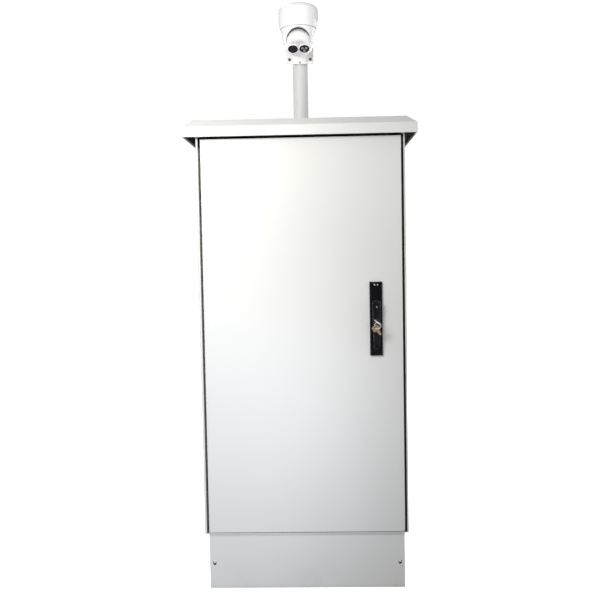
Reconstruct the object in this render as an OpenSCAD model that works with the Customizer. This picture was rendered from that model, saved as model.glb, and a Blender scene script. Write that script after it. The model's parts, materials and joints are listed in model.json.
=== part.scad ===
// Outdoor distribution cabinet: plinth, folded shell, flush door with a rod lock,
// rain canopy and a short mast that carries a small pan and tilt camera.
// Millimetres, +Z up, front at -Y, origin on the floor under the middle of the cabinet.

/* [Cabinet body] */
// Width over the side panels
body_w = 600; // [540:1:800]
// Depth from the front strips to the back panel
body_d = 500; // [440:1:700]
// Height of the shell above the plinth
body_h = 1182; // [1050:1:1600]
// Sheet thickness of the shell
sheet = 2; // [1.5:0.1:3]
// Inside radius of the folds
bend_r = 1.5; // [0.5:0.1:2]

/* [Plinth] */
// Height of the plinth
plinth_h = 166; // [100:1:250]
// How far the plinth stands in from the side panels
plinth_side_inset = 12; // [5:0.5:30]
// How far the plinth stands in from the front and the back
plinth_front_inset = 6; // [2:0.5:30]
// Sheet thickness of the plinth
plinth_sheet = 2.5; // [2:0.1:4]
// Width of the flange that stands on the floor
plinth_flange = 45; // [40:1:70]
// Width of the flange that carries the floor plate
plinth_top_flange = 30; // [20:1:40]
// Diameter of the floor anchor holes
anchor_hole_d = 14; // [10:0.5:18]
// Height of the front panel screws above the floor
plinth_screw_z = 78; // [40:1:95]
// Distance of the front panel screws from its ends
plinth_screw_edge = 14.5; // [12:0.5:18]

/* [Door frame] */
// Width of the visible front strip
strip_w = 9; // [8:0.5:14]
// Depth of the recess that the door closes into
recess_d = 26; // [25:0.5:32]
// Width of the ledge inside the recess
ledge_w = 29; // [29:0.5:34]
// Height of the sealing lip in front of the ledge
seal_lip = 10; // [8:0.5:10.5]
// Height of the header above the door opening
header_drop = 24; // [15:1:40]

/* [Door] */
// Gap between the door and each front strip
door_gap = 6; // [5.5:0.5:8]
// Gap above the door
door_gap_top = 4; // [3:0.5:8]
// Gap under the door
door_gap_bottom = 5; // [3:0.5:8]
// Sheet thickness of the door
door_sheet = 1.5; // [1:0.1:2]
// Depth of the folded door
door_pan = 18; // [16:0.5:18.5]
// Width of the inner return of the door
door_return = 12; // [8:0.5:13]
// Width of the gasket
gasket_w = 14; // [8:0.5:16]
// Gap left between the gasket and the sealing lip
gasket_gap = 0.2; // [0.1:0.05:0.4]
// Distance of the stiffeners from the middle of the door
stiffener_x = 110; // [60:1:130]

/* [Hinges] */
// Height of a hinge
hinge_h = 60; // [45:1:80]
// Diameter of the hinge pin
hinge_pin_d = 5; // [4:0.1:6]
// Diameter of the hinge knuckle
hinge_knuckle_d = 9; // [8:0.1:10]
// Distance of the pin from the edge of the door
hinge_edge = 9; // [8.5:0.1:9.5]
// Distance of the pin behind the front of the door
hinge_back = 8; // [7.5:0.1:8.5]
// Distance of the outer hinges from the ends of the door
hinge_end = 150; // [100:1:250]
// Radial clearance of every turning fit
running_fit = 0.05; // [0.02:0.01:0.1]

/* [Lock] */
// Distance of the lock from the edge of the door
lock_edge = 73.5; // [70:0.5:100]
// Height of the handle spindle above the lower edge of the door
lock_height = 667; // [560:1:760]
// Width of the lock dish
dish_w = 36; // [34:0.5:44]
// Length of the lock dish
dish_h = 213; // [208:1:240]
// Height of the dish above the spindle
dish_above = 63; // [45:1:68]
// Thickness of the dish
dish_t = 8; // [7:0.5:10]
// Depth of the nest in the dish
dish_nest = 4; // [3:0.5:5]
// Diameter of the spindle
spindle_d = 14; // [12:0.5:16]
// Square of the spindle end that drives the cam
cam_square = 8; // [6:0.5:8]
// Radius of the crank pins on the cam
crank_r = 18; // [16:0.5:20]
// Width of the lock rods
rod_w = 16; // [12:0.5:18]
// Thickness of the lock rods
rod_t = 4; // [3:0.5:5]
// Clearance of the rods in their guides
rod_gap = 0.4; // [0.2:0.1:0.8]

/* [Handle and keys] */
// Width of the handle at its boss
handle_w = 24; // [22:0.5:26]
// Width of the handle at its lower end
handle_end_w = 18; // [17:0.5:20]
// Length of the handle below the spindle
handle_l = 130; // [120:1:138]
// Thickness of the handle
handle_t = 15; // [14.5:0.5:17]
// Distance of the lock cylinder below the spindle
barrel_drop = 50; // [45:1:60]
// Turn of the key in the lock
key_turn = 42; // [30:1:60]
// Thickness of the keys
key_t = 2; // [1.6:0.1:2.2]
// Middle radius of the key ring
ring_r = 9; // [8.5:0.1:10]
// Wire diameter of the key ring
ring_wire = 1.4; // [1:0.1:1.6]

/* [Canopy] */
// Overhang of the canopy at the sides
canopy_side = 33; // [20:1:60]
// Overhang of the canopy at the front and the back
canopy_front = 30; // [20:1:60]
// Height of the upright lip
lip_h = 29; // [20:1:60]
// Run of the sloped band
hip_run = 27; // [15:1:45]
// Rise of the sloped band
hip_rise = 22; // [15:1:40]
// How far the lip hangs below the top of the shell
lip_drop = 25; // [18:1:26]
// Sheet thickness of the canopy
canopy_sheet = 2; // [1.5:0.1:3]

/* [Mast] */
// Outside diameter of the mast
mast_d = 48; // [42:1:60]
// Wall of the mast
mast_wall = 3; // [2:0.1:4]
// Height of the mast
mast_h = 316; // [280:1:500]
// Width of the mast foot
foot_w = 130; // [120:1:170]
// Thickness of the mast foot
foot_t = 8; // [6:0.5:12]
// Diameter of the cable hole under the mast
cable_hole_d = 30; // [20:1:34]

/* [Camera] */
// Width of the bracket plate
bracket_w = 85; // [80:1:100]
// Height of the bracket plate
bracket_h = 107; // [90:1:130]
// Width of the bracket arm
arm_w = 44; // [30:1:48]
// Distance of the camera in front of the mast
camera_reach = 155; // [150:1:200]
// Diameter of the cup that holds the camera
cup_d = 117; // [114:1:124]
// Diameter of the camera ball
ball_d = 84; // [78:0.5:85]
// How far the camera looks down
camera_down = 55; // [30:1:60]
// Gap between the ball and its shell
ball_gap = 0.5; // [0.3:0.1:0.8]

/* [Inside] */
// Width of the mounting plate
plate_w = 480; // [440:1:500]
// Gap behind the mounting plate
plate_gap = 45.5; // [30:0.5:60]
// Thickness of the mounting plate
plate_t = 2.5; // [2:0.1:4]
// Distance of the mounting plate from the floor plate
plate_low = 72; // [60:1:100]
// Distance of the mounting plate from the top plate
plate_high = 96; // [60:1:120]
// Width of the main breaker
main_w = 76; // [60:1:90]
// Height of the main breaker
main_h = 130; // [110:1:150]
// Width of the power supply
supply_w = 110; // [80:1:120]
// Height of the power supply
supply_h = 200; // [150:1:230]
// Depth of the power supply
supply_d = 45; // [35:1:60]
// Length of the earth and neutral bars
bar_length = 240; // [160:1:300]
// Height of the earth bar above the foot of the mounting plate
earth_up = 70; // [60:1:80]
// Height of the neutral bar above the foot of the mounting plate
neutral_up = 120; // [110:1:140]
// Width of the gland plate
gland_plate_w = 320; // [300:1:340]
// Depth of the gland plate
gland_plate_d = 160; // [140:1:180]
// Bore of the cable glands
gland_bore_d = 18; // [10:0.5:20]
// Swing of the branch levers above the middle
lever_up = 35; // [20:1:35]

/* [Hidden] */
$fn = 64;
half_w = body_w / 2;
front_y = -body_d / 2;
back_y = body_d / 2;
body_z0 = plinth_h;
body_z1 = plinth_h + body_h;
bend_steps = 4;

plinth_x = half_w - plinth_side_inset;
plinth_y = back_y - plinth_front_inset;
anchor_x = plinth_x - plinth_flange / 2;
anchor_y = plinth_y - plinth_flange / 2;
plinth_return = 2 * plinth_screw_edge - 4;

frame_x = half_w - strip_w;
ledge_x = frame_x - ledge_w;
ledge_y = front_y + recess_d;
ledge_front = ledge_y - sheet;
lip_y = ledge_front - seal_lip;
open_z0 = body_z0 + sheet;
open_z1 = body_z1 - header_drop;
lip_z0 = open_z0 + ledge_w + 3;
lip_z1 = open_z1 - ledge_w - 2;

door_x = frame_x - door_gap;
door_z0 = open_z0 + door_gap_bottom;
door_z1 = open_z1 - door_gap_top;
skin_y = front_y + door_sheet;
pan_y = front_y + door_pan;
gasket_x = ledge_x + sheet / 2 + gasket_w / 2;

hinge_x = -(door_x - hinge_edge);
hinge_y = front_y + hinge_back;
hinge_zs = [door_z0 + hinge_end, (door_z0 + door_z1) / 2, door_z1 - hinge_end];
hinge_leaf_t = 2;
door_leaf_t = 1.5;
lug_t = 3;

lock_x = door_x - lock_edge;
lock_z = door_z0 + lock_height;
dish_z0 = lock_z + dish_above - dish_h;
dish_z1 = lock_z + dish_above;
dish_y = front_y - dish_t;
nest_r = handle_w / 2 + 2;
nest_y = dish_y + dish_nest;
handle_back = dish_y - 0.5;
handle_front = handle_back - handle_t;
fork_r = handle_t / 2 + 0.7;
pin_y = handle_back - handle_t / 2;
pin_d = 4;
tongue_w = 10;
tongue_r = 6;
grip_y = handle_front + 2.5;
barrel_r = 6.5;
barrel_z = lock_z - barrel_drop;
collar_y = grip_y - 0.2;

cam_y0 = pan_y + 6;
cam_t = 3;
cam_y1 = cam_y0 + cam_t;
rod_y0 = cam_y1 + 1;
rod_y1 = rod_y0 + rod_t;
crank_d = 6;
crank_off = crank_r * sin(45);
rod_off = (crank_r + crank_off) / 2;
slot_x = (crank_r - crank_off) / 2 + crank_d / 2 + 0.6;
slot_z = crank_d / 2 + 0.9;
rod_top = lip_z1 - 1.5;
rod_low = lip_z0 + 1.5;

key_tip = 36;
key_eye_d = 8;
bow_w = 21;
bow_end = -6;
bow_start = 16;
eye_y = grip_y + 7.5 - key_tip;
ring_at_key = 96;
ring_at_spare = 214;
spare_turn = -20;
ring_x = lock_x - ring_r * cos(ring_at_key);
ring_z = barrel_z - ring_r * sin(ring_at_key);

canopy_x = half_w + canopy_side;
canopy_y = back_y + canopy_front;
canopy_z0 = body_z1 - lip_drop;
canopy_z1 = canopy_z0 + lip_h;
canopy_z2 = canopy_z1 + hip_rise;
roof_under = canopy_z2 - canopy_sheet;
boss_x = half_w - 80;
boss_y = back_y - 80;

mast_r = mast_d / 2;
mast_top = canopy_z2 + mast_h;
foot_bolt = foot_w / 2 - 17;
backing_t = 6;
saddle_y = -(mast_r + 4);
saddle_t = 6;
bracket_t = 5;
bracket_y = saddle_y - bracket_t;
bracket_z0 = mast_top - bracket_h;
bracket_hole_x = bracket_w / 2 - 10;
bracket_hole_zs = [bracket_z0 + 11, mast_top - 8];

cup_r = cup_d / 2;
cup_z0 = mast_top - 40;
cup_z1 = mast_top + 25;
spigot_r = cup_r - 8.5;
ball_r = ball_d / 2;
ball_z = cup_z0 - ball_r + 4;
face_h = ball_r - 17;
rim_r = sqrt(ball_r * ball_r - face_h * face_h);
face_r = rim_r - 5;
bezel_x = rim_r / 2 - 0.2;
bezel_r = rim_r / 2;
window_r = bezel_r - 2.4;
arch_r = ball_r - 6;
arch_z = ball_z - 2.5;

plate_back = back_y - sheet - plate_gap;
plate_y = plate_back - plate_t;
plate_z0 = open_z0 + plate_low;
plate_z1 = body_z1 - sheet - plate_high;
rail_x = plate_w / 2 - 30;
rail_zs = [plate_z1 - 175, plate_z1 - 430];
rail_y = plate_y - 7.5;
gland_y = 100;
gland_xs = [-90, 0, 90];
gland_plate_t = 3;
gland_r = gland_bore_d / 2 + 3.5;
branch_xs = [-10, 9, 28];
branch_w = 17.6;
nose_y = plate_y - 68;
lever_y = nose_y + 5;
main_x = 90 - plate_w / 2;
main_z = rail_zs[0];
main_nose = plate_y - 72;
main_lever_y = main_nose + 8;

grey = [0.86, 0.87, 0.86];
dark = [0.08, 0.08, 0.09];
zinc = [0.72, 0.73, 0.74];
brass = [0.76, 0.62, 0.33];
copper = [0.75, 0.45, 0.3];
white = [0.93, 0.93, 0.94];

// Folded sheet: the outline of a bent strip from the middle line of its section
function unit(v) = v / norm(v);
function turned(v, a) = [v[0] * cos(a) - v[1] * sin(a), v[0] * sin(a) + v[1] * cos(a)];
function turn(u, v) = atan2(u[0] * v[1] - u[1] * v[0], u[0] * v[0] + u[1] * v[1]);
function reversed(p) = [for (i = [len(p) - 1:-1:0]) p[i]];
function bend(p, u, v, side, t, r) =
  let (a = turn(u, v), s = sign(a), m = r + t / 2)
  let (centre = p - u * m * tan(abs(a) / 2) + turned(u, 90 * s) * m)
  [for (k = [0:bend_steps])
    centre + turned(u, -90 * s + a * k / bend_steps) * (m - s * side * t / 2)];
function face_of(path, side, t, r) =
  let (last = len(path) - 1)
  concat(
    [path[0] + turned(unit(path[1] - path[0]), 90) * side * t / 2],
    [for (i = [1:1:last - 1]) each
      bend(path[i], unit(path[i] - path[i - 1]), unit(path[i + 1] - path[i]), side, t, r)],
    [path[last] + turned(unit(path[last] - path[last - 1]), 90) * side * t / 2]);

module folded(path, t, r = bend_r) {
  polygon(concat(face_of(path, 1, t, r), reversed(face_of(path, -1, t, r))));
}

// Extrusions along each axis and a block between two corners
module along_x(x0, x1) {
  translate([x0, 0, 0]) rotate([90, 0, 90]) linear_extrude(x1 - x0) children();
}

module along_y(y0, y1) {
  translate([0, y1, 0]) rotate([90, 0, 0]) linear_extrude(y1 - y0) children();
}

module along_z(z0, z1) {
  translate([0, 0, z0]) linear_extrude(z1 - z0) children();
}

module block(lo, hi) {
  translate(lo) cube(hi - lo);
}

module round_x(r, x0, x1, y, z) {
  translate([x0, y, z]) rotate([0, 90, 0]) cylinder(r = r, h = x1 - x0);
}

module round_y(r, y0, y1, x, z, sides = 64) {
  translate([x, y0, z]) rotate([-90, 0, 0]) cylinder(r = r, h = y1 - y0, $fn = sides);
}

module round_z(r, z0, z1, x, y, sides = 64) {
  translate([x, y, z0]) cylinder(r = r, h = z1 - z0, $fn = sides);
}

module window_frame(x, y, w) {
  difference() {
    square([2 * x, 2 * y], center = true);
    square([2 * (x - w), 2 * (y - w)], center = true);
  }
}

// Plinth
module plinth_frame() {
  wall = plinth_x - plinth_sheet / 2;
  wall_y = plinth_y - plinth_sheet / 2;
  face_y = -plinth_y + sheet + plinth_sheet / 2;
  color(grey) difference() {
    union() {
      along_z(0, plinth_h) folded([
        [-plinth_x + plinth_return, face_y], [-wall, face_y], [-wall, wall_y],
        [wall, wall_y], [wall, face_y], [plinth_x - plinth_return, face_y]], plinth_sheet);
      along_z(0, plinth_sheet) translate([0, sheet])
        window_frame(plinth_x - plinth_sheet / 2, plinth_y - sheet - plinth_sheet / 2,
          plinth_flange - plinth_sheet / 2);
      along_z(plinth_h - plinth_sheet, plinth_h) translate([0, sheet])
        window_frame(plinth_x - plinth_sheet / 2, plinth_y - sheet - plinth_sheet / 2,
          plinth_top_flange - plinth_sheet / 2);
    }
    for (x = [-anchor_x, anchor_x], y = [-anchor_y, anchor_y])
      round_z(anchor_hole_d / 2, -1, plinth_sheet + 1, x, y);
    for (x = [-1, 1])
      round_y(2.6, -plinth_y, face_y + 5, x * (plinth_x - plinth_screw_edge), plinth_screw_z);
  }
}

module plinth_front_panel() {
  color(grey) difference() {
    along_x(-plinth_x, plinth_x) folded([
      [-plinth_y + sheet + 12, 3 + plinth_sheet], [-plinth_y + sheet / 2, 3 + plinth_sheet],
      [-plinth_y + sheet / 2, plinth_h - 1]], sheet);
    for (x = [-1, 1])
      round_y(3.2, -plinth_y - 1, -plinth_y + sheet + 1,
        x * (plinth_x - plinth_screw_edge), plinth_screw_z);
    for (x = [-1, 1])
      translate([x * (plinth_x - plinth_return / 2), 0, 0])
        block([-plinth_return / 2 - 1, -plinth_y + sheet, 0],
          [plinth_return / 2 + 1, -plinth_y + 20, 12]);
  }
}

module plinth_screws() {
  color(zinc) for (x = [-1, 1]) {
    sx = x * (plinth_x - plinth_screw_edge);
    round_y(5.6, -plinth_y - 3, -plinth_y, sx, plinth_screw_z);
    round_y(2.5, -plinth_y - 1, -plinth_y + 14, sx, plinth_screw_z);
  }
}

// Shell
module side_panel() {
  wall = half_w - sheet / 2;
  strip_y = front_y + sheet / 2;
  color(grey) difference() {
    along_z(body_z0, body_z1) folded([
      [wall, back_y], [wall, strip_y], [frame_x + sheet / 2, strip_y],
      [frame_x + sheet / 2, ledge_y - sheet / 2], [ledge_x + sheet / 2, ledge_y - sheet / 2],
      [ledge_x + sheet / 2, lip_y]], sheet);
    block([ledge_x - 1, lip_y - 1, body_z0 - 1], [frame_x, ledge_y + 1, open_z0]);
    block([ledge_x - 1, lip_y - 1, open_z1], [frame_x, ledge_y + 1, body_z1 + 1]);
    block([ledge_x - 1, lip_y - 1, open_z0 - 1], [ledge_x + 5, ledge_front, lip_z0 - sheet]);
    block([ledge_x - 1, lip_y - 1, lip_z1 + sheet], [ledge_x + 5, ledge_front, open_z1 + 1]);
  }
}

module left_side_panel() {
  mirror([1, 0, 0]) side_panel();
}

module right_side_panel() {
  side_panel();
}

module back_panel() {
  wall = half_w - 1.5 * sheet;
  color(grey) along_z(open_z0, body_z1 - sheet) folded([
    [-wall, back_y - 20], [-wall, back_y - sheet / 2],
    [wall, back_y - sheet / 2], [wall, back_y - 20]], sheet);
}

module top_plate() {
  color(grey) difference() {
    union() {
      block([-half_w + sheet, ledge_y, body_z1 - sheet], [half_w - sheet, back_y, body_z1]);
      block([-frame_x, front_y + sheet, body_z1 - sheet], [frame_x, ledge_y + 1, body_z1]);
    }
    round_z(cable_hole_d / 2, body_z1 - 5, body_z1 + 5, 0, 0);
    for (x = [-boss_x, boss_x], y = [-boss_y, boss_y])
      round_z(4.5, body_z1 - 5, body_z1 + 5, x, y);
  }
}

module floor_plate() {
  color(grey) difference() {
    block([-half_w + sheet, ledge_y, body_z0], [half_w - sheet, back_y, open_z0]);
    block([20 - gland_plate_w / 2, gland_y + 20 - gland_plate_d / 2, body_z0 - 1],
      [gland_plate_w / 2 - 20, gland_y + gland_plate_d / 2 - 20, open_z0 + 1]);
  }
}

module header_rail() {
  color(grey) difference() {
    along_x(-frame_x, frame_x) folded([
      [front_y + sheet / 2, body_z1], [front_y + sheet / 2, open_z1 + sheet / 2],
      [ledge_y - sheet / 2, open_z1 + sheet / 2], [ledge_y - sheet / 2, lip_z1 + sheet / 2],
      [lip_y, lip_z1 + sheet / 2]], sheet);
    for (x = [-1, 1])
      translate([x * (ledge_x + 20), 0, 0])
        block([-20, lip_y - 1, lip_z1 - 1], [20, ledge_y + 1, open_z1]);
  }
}

module sill_rail() {
  color(grey) difference() {
    along_x(-frame_x, frame_x) folded([
      [front_y, body_z0 + sheet / 2], [ledge_y - sheet / 2, body_z0 + sheet / 2],
      [ledge_y - sheet / 2, lip_z0 - sheet / 2], [lip_y, lip_z0 - sheet / 2]], sheet);
    for (x = [-1, 1])
      translate([x * (ledge_x + 20), 0, 0])
        block([-20, lip_y - 1, open_z0], [20, ledge_y + 1, lip_z0 + 1]);
  }
}

module gland_plate() {
  color(zinc) difference() {
    block([-gland_plate_w / 2, gland_y - gland_plate_d / 2, open_z0],
      [gland_plate_w / 2, gland_y + gland_plate_d / 2, open_z0 + gland_plate_t]);
    for (x = gland_xs)
      round_z(gland_r + 0.1, open_z0 - 1, open_z0 + 5, x, gland_y);
  }
}

module cable_glands() {
  top = open_z0 + gland_plate_t;
  color(dark) for (x = gland_xs) difference() {
    union() {
      round_z(gland_r, open_z0 - 13, top + 1, x, gland_y);
      round_z(gland_r + 6, open_z0 - 7, open_z0, x, gland_y, 6);
      round_z(gland_r + 5, top, top + 10, x, gland_y, 6);
      translate([x, gland_y, top + 10]) cylinder(r1 = gland_r + 2.5, r2 = gland_r - 0.5, h = 15);
    }
    round_z(gland_bore_d / 2, open_z0 - 20, top + 30, x, gland_y);
  }
}

// Canopy
function hood(w, z0, z1, z2, run) =
  [[-w, z0], [w, z0], [w, z1], [w - run, z2], [run - w, z2], [-w, z1]];

module hood_solid(x, y, z0, z1, z2, run) {
  intersection() {
    along_y(-y - 5, y + 5) polygon(hood(x, z0, z1, z2, run));
    along_x(-x - 5, x + 5) polygon(hood(y, z0, z1, z2, run));
  }
}

module canopy() {
  slope = atan(hip_rise / hip_run);
  t = canopy_sheet;
  inner_run = hip_run - t + t * tan(slope / 2);
  color(grey) difference() {
    union() {
      difference() {
        hood_solid(canopy_x, canopy_y, canopy_z0, canopy_z1, canopy_z2, hip_run);
        hood_solid(canopy_x - t, canopy_y - t, canopy_z0 - 1,
          canopy_z1 - t * tan(45 - slope / 2), roof_under, inner_run);
      }
      for (x = [-boss_x, boss_x], y = [-boss_y, boss_y])
        round_z(9, body_z1, roof_under + 0.5, x, y);
    }
    for (x = [-boss_x, boss_x], y = [-boss_y, boss_y])
      round_z(4.1, body_z1 - 1, roof_under - 5, x, y);
    round_z(cable_hole_d / 2, roof_under - 5, canopy_z2 + 5, 0, 0);
    for (x = [-foot_bolt, foot_bolt], y = [-foot_bolt, foot_bolt])
      round_z(5.3, roof_under - 5, canopy_z2 + 5, x, y);
  }
}

module canopy_soffit() {
  color(dark) along_z(canopy_z0 + 7, canopy_z0 + 11) difference() {
    square([2 * (canopy_x - canopy_sheet), 2 * (canopy_y - canopy_sheet)], center = true);
    square([body_w, body_d], center = true);
  }
}

module canopy_bolts() {
  color(zinc) for (x = [-boss_x, boss_x], y = [-boss_y, boss_y]) {
    round_z(7.5, body_z1 - sheet - 5.5, body_z1 - sheet, x, y, 6);
    round_z(4, body_z1 - sheet - 1, roof_under - 7, x, y);
  }
}

// Mast
module mast() {
  color(grey) difference() {
    union() {
      block([-foot_w / 2, -foot_w / 2, canopy_z2], [foot_w / 2, foot_w / 2, canopy_z2 + foot_t]);
      round_z(mast_r, canopy_z2, mast_top, 0, 0);
      block([-bracket_w / 2, saddle_y, bracket_z0],
        [bracket_w / 2, saddle_y + saddle_t, mast_top]);
    }
    round_z(mast_r - mast_wall, canopy_z2 - 1, mast_top + 1, 0, 0);
    for (x = [-foot_bolt, foot_bolt], y = [-foot_bolt, foot_bolt])
      round_z(5.3, canopy_z2 - 1, canopy_z2 + foot_t + 1, x, y);
    for (x = [-bracket_hole_x, bracket_hole_x], z = bracket_hole_zs)
      round_y(2.6, saddle_y - 1, saddle_y + saddle_t + 1, x, z);
  }
}

module mast_backing_plate() {
  color(zinc) difference() {
    block([-foot_w / 2, -foot_w / 2, roof_under - backing_t],
      [foot_w / 2, foot_w / 2, roof_under]);
    round_z(cable_hole_d / 2, roof_under - 10, roof_under + 1, 0, 0);
    for (x = [-foot_bolt, foot_bolt], y = [-foot_bolt, foot_bolt])
      round_z(5.3, roof_under - 10, roof_under + 1, x, y);
  }
}

module mast_bolts() {
  head_z = canopy_z2 + foot_t;
  nut_z = roof_under - backing_t;
  color(zinc) for (x = [-foot_bolt, foot_bolt], y = [-foot_bolt, foot_bolt]) {
    round_z(9.2, head_z, head_z + 6.4, x, y, 6);
    round_z(5, nut_z - 11, head_z + 1, x, y);
    round_z(9.2, nut_z - 8, nut_z, x, y, 6);
  }
}

module mast_cap() {
  color(dark) rotate_extrude() polygon(concat(
    [[0, mast_top - 14], [mast_r - mast_wall - 0.1, mast_top - 14],
      [mast_r - mast_wall - 0.1, mast_top], [mast_r + 1, mast_top]],
    [for (a = [0:15:90]) [(mast_r + 1) * cos(a), mast_top + 2 + 6 * sin(a)]]));
}

// Bracket and camera
module camera_bracket() {
  arm_end = -camera_reach + cup_r - 7;
  reach = bracket_y + camera_reach - cup_r;
  color(white) difference() {
    union() {
      block([-bracket_w / 2, bracket_y, bracket_z0], [bracket_w / 2, saddle_y, mast_top]);
      along_x(-arm_w / 2, arm_w / 2) polygon(concat(
        [for (a = [0:10:90])
          [bracket_y - reach * (1 - cos(a)), bracket_z0 - 3 + (bracket_h - 19) * sin(a)]],
        [[arm_end, mast_top - 22], [arm_end, mast_top + 12], [arm_end + 40, mast_top + 10],
          [bracket_y, mast_top - 4], [bracket_y + 2, mast_top - 4], [bracket_y + 2, bracket_z0 - 3]]));
      translate([0, -camera_reach, 0]) rotate_extrude() polygon(concat(
        [[0, cup_z0], [cup_r - 4, cup_z0], [cup_r, cup_z0 + 24]],
        [for (a = [0:15:90]) [cup_r - 14 + 14 * cos(a), cup_z1 - 14 + 14 * sin(a)]],
        [[0, cup_z1]]));
    }
    round_z(spigot_r + running_fit, cup_z0 - 1, cup_z0 + 10, 0, -camera_reach);
    round_z(spigot_r - 4, cup_z0, cup_z1 - 10, 0, -camera_reach);
    for (x = [-bracket_hole_x, bracket_hole_x], z = bracket_hole_zs)
      round_y(2.6, bracket_y - 1, saddle_y + 1, x, z);
  }
}

module bracket_screws() {
  color(brass) for (x = [-bracket_hole_x, bracket_hole_x], z = bracket_hole_zs) {
    round_y(4.5, bracket_y - 3, bracket_y, x, z);
    round_y(2.5, bracket_y - 1, saddle_y + saddle_t, x, z);
  }
}

module camera_base() {
  low = ball_z - 6;
  color(white) difference() {
    translate([0, -camera_reach, 0]) rotate_extrude() polygon([
      [0, low], [ball_r + 2, low], [ball_r + 4.4, ball_z + 6], [ball_r + 6.2, ball_z + 14],
      [ball_r + 7.6, ball_z + 22], [cup_r - 6, cup_z0 - 0.2], [spigot_r, cup_z0 - 0.2],
      [spigot_r, cup_z0 + 8], [0, cup_z0 + 8]]);
    translate([0, -camera_reach, ball_z]) sphere(ball_r + ball_gap);
    round_y(arch_r, -camera_reach - 80, -camera_reach, 0, arch_z);
    block([-arch_r, -camera_reach - 80, low - 1], [arch_r, -camera_reach, arch_z]);
  }
}

module camera_aim() {
  translate([0, -camera_reach, ball_z]) rotate([90 + camera_down, 0, 0]) children();
}

module camera_ball() {
  color(white) camera_aim() difference() {
    sphere(ball_r);
    round_z(face_r + 0.2, face_h - 3, ball_r + 5, 0, 0);
    round_z(ball_r + 5, face_h, ball_r + 5, 0, 0);
  }
}

module camera_face() {
  color([0.75, 0.75, 0.8]) camera_aim() difference() {
    union() {
      round_z(face_r, face_h - 3, face_h, 0, 0);
      for (x = [-bezel_x, bezel_x])
        round_z(bezel_r, face_h, face_h + 3.5, x, 0);
    }
    for (x = [-bezel_x, bezel_x])
      round_z(window_r + 0.05, face_h + 0.5, face_h + 6, x, 0);
  }
}

module camera_windows() {
  color(dark) camera_aim() for (x = [-bezel_x, bezel_x])
    round_z(window_r, face_h + 0.5, face_h + 2.5, x, 0);
}

// Hinges
module hinge_frame_leaves() {
  hole_r = hinge_pin_d / 2 + 0.02;
  color(zinc) for (z = hinge_zs) difference() {
    union() {
      block([-frame_x + 2, ledge_front - hinge_leaf_t, z - hinge_h / 2],
        [-ledge_x - 6, ledge_front, z + hinge_h / 2]);
      for (s = [-1, 1]) translate([0, 0, z + s * hinge_h / 3]) {
        round_z(hinge_knuckle_d / 2, -hinge_h / 6, hinge_h / 6, hinge_x, hinge_y);
        block([hinge_x - lug_t / 2, hinge_y, -hinge_h / 6],
          [hinge_x + lug_t / 2, ledge_front - 1, hinge_h / 6]);
      }
    }
    round_z(hole_r, z - hinge_h, z + hinge_h, hinge_x, hinge_y);
  }
}

module hinge_pins() {
  color(zinc) for (z = hinge_zs) {
    round_z(hinge_pin_d / 2, z - hinge_h / 2 - 1, z + hinge_h / 2 + 1, hinge_x, hinge_y);
    round_z(hinge_pin_d / 2 + 1.2, z + hinge_h / 2, z + hinge_h / 2 + 2, hinge_x, hinge_y);
  }
}

module hinge_door_leaves() {
  part_h = hinge_h / 6 - 0.5;
  color(zinc) for (z = hinge_zs) difference() {
    union() {
      round_z(hinge_knuckle_d / 2, z - part_h, z + part_h, hinge_x, hinge_y);
      block([hinge_x - hinge_knuckle_d / 2, skin_y, z - part_h],
        [hinge_x + hinge_knuckle_d / 2, hinge_y, z + part_h]);
      block([-door_x + door_sheet + 2, skin_y, z - hinge_h / 2],
        [-gasket_x - 0.4, skin_y + door_leaf_t, z + hinge_h / 2]);
    }
    round_z(hinge_pin_d / 2 + running_fit, z - hinge_h, z + hinge_h, hinge_x, hinge_y);
  }
}

// Door
module door_panel() {
  wall = door_x - door_sheet / 2;
  middle_y = front_y + door_sheet / 2;
  inner_y = pan_y - door_sheet / 2;
  color(grey) difference() {
    union() {
      along_z(door_z0, door_z1) folded([
        [-door_x + door_return, inner_y], [-wall, inner_y], [-wall, middle_y],
        [wall, middle_y], [wall, inner_y], [door_x - door_return, inner_y]], door_sheet);
      for (z = [door_z0, door_z1 - door_sheet])
        block([-wall, middle_y, z], [wall, inner_y, z + door_sheet]);
      for (z = [door_z0, door_z1 - door_return])
        block([-wall, pan_y - door_sheet, z], [wall, pan_y, z + door_return]);
    }
    for (z = hinge_zs)
      block([-door_x - 1, hinge_y - 5.5, z - hinge_h / 2 - 4],
        [hinge_x + 6, pan_y + 1, z + hinge_h / 2 + 4]);
    round_y(spindle_d / 2 + 1, front_y - 1, skin_y + 1, lock_x, lock_z);
    for (z = [dish_z0 + 15, dish_z1 - 15])
      round_y(4.2, front_y - 1, skin_y + 1, lock_x, z);
  }
}

module door_gasket() {
  x = gasket_x;
  z0 = lip_z0 - sheet / 2 - gasket_w / 2;
  z1 = lip_z1 + sheet / 2 + gasket_w / 2;
  color(dark) difference() {
    block([-x, skin_y, z0], [x, lip_y - gasket_gap, z1]);
    block([-x + gasket_w, skin_y - 1, z0 + gasket_w], [x - gasket_w, lip_y + 1, z1 - gasket_w]);
  }
}

module door_stiffeners() {
  flat_y = skin_y + 0.75;
  color(grey) for (x = [-stiffener_x, stiffener_x]) translate([x, 0, 0])
    along_z(lip_z0 + 40, lip_z1 - 40) folded([
      [-28, flat_y], [-14, flat_y], [-14, flat_y + 13], [14, flat_y + 13], [14, flat_y],
      [28, flat_y]], 1.5);
}

// Lock
module bevelled_plate(x, y0, y1, z0, z1, c) {
  w = x;
  intersection() {
    along_z(z0, z1) polygon([[-w, y1], [w, y1], [w, y0 + c], [w - c, y0], [c - w, y0], [-w, y0 + c]]);
    along_x(-w, w) polygon([[y1, z0], [y1, z1], [y0 + c, z1], [y0, z1 - c], [y0, z0 + c], [y0 + c, z0]]);
  }
}

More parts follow.
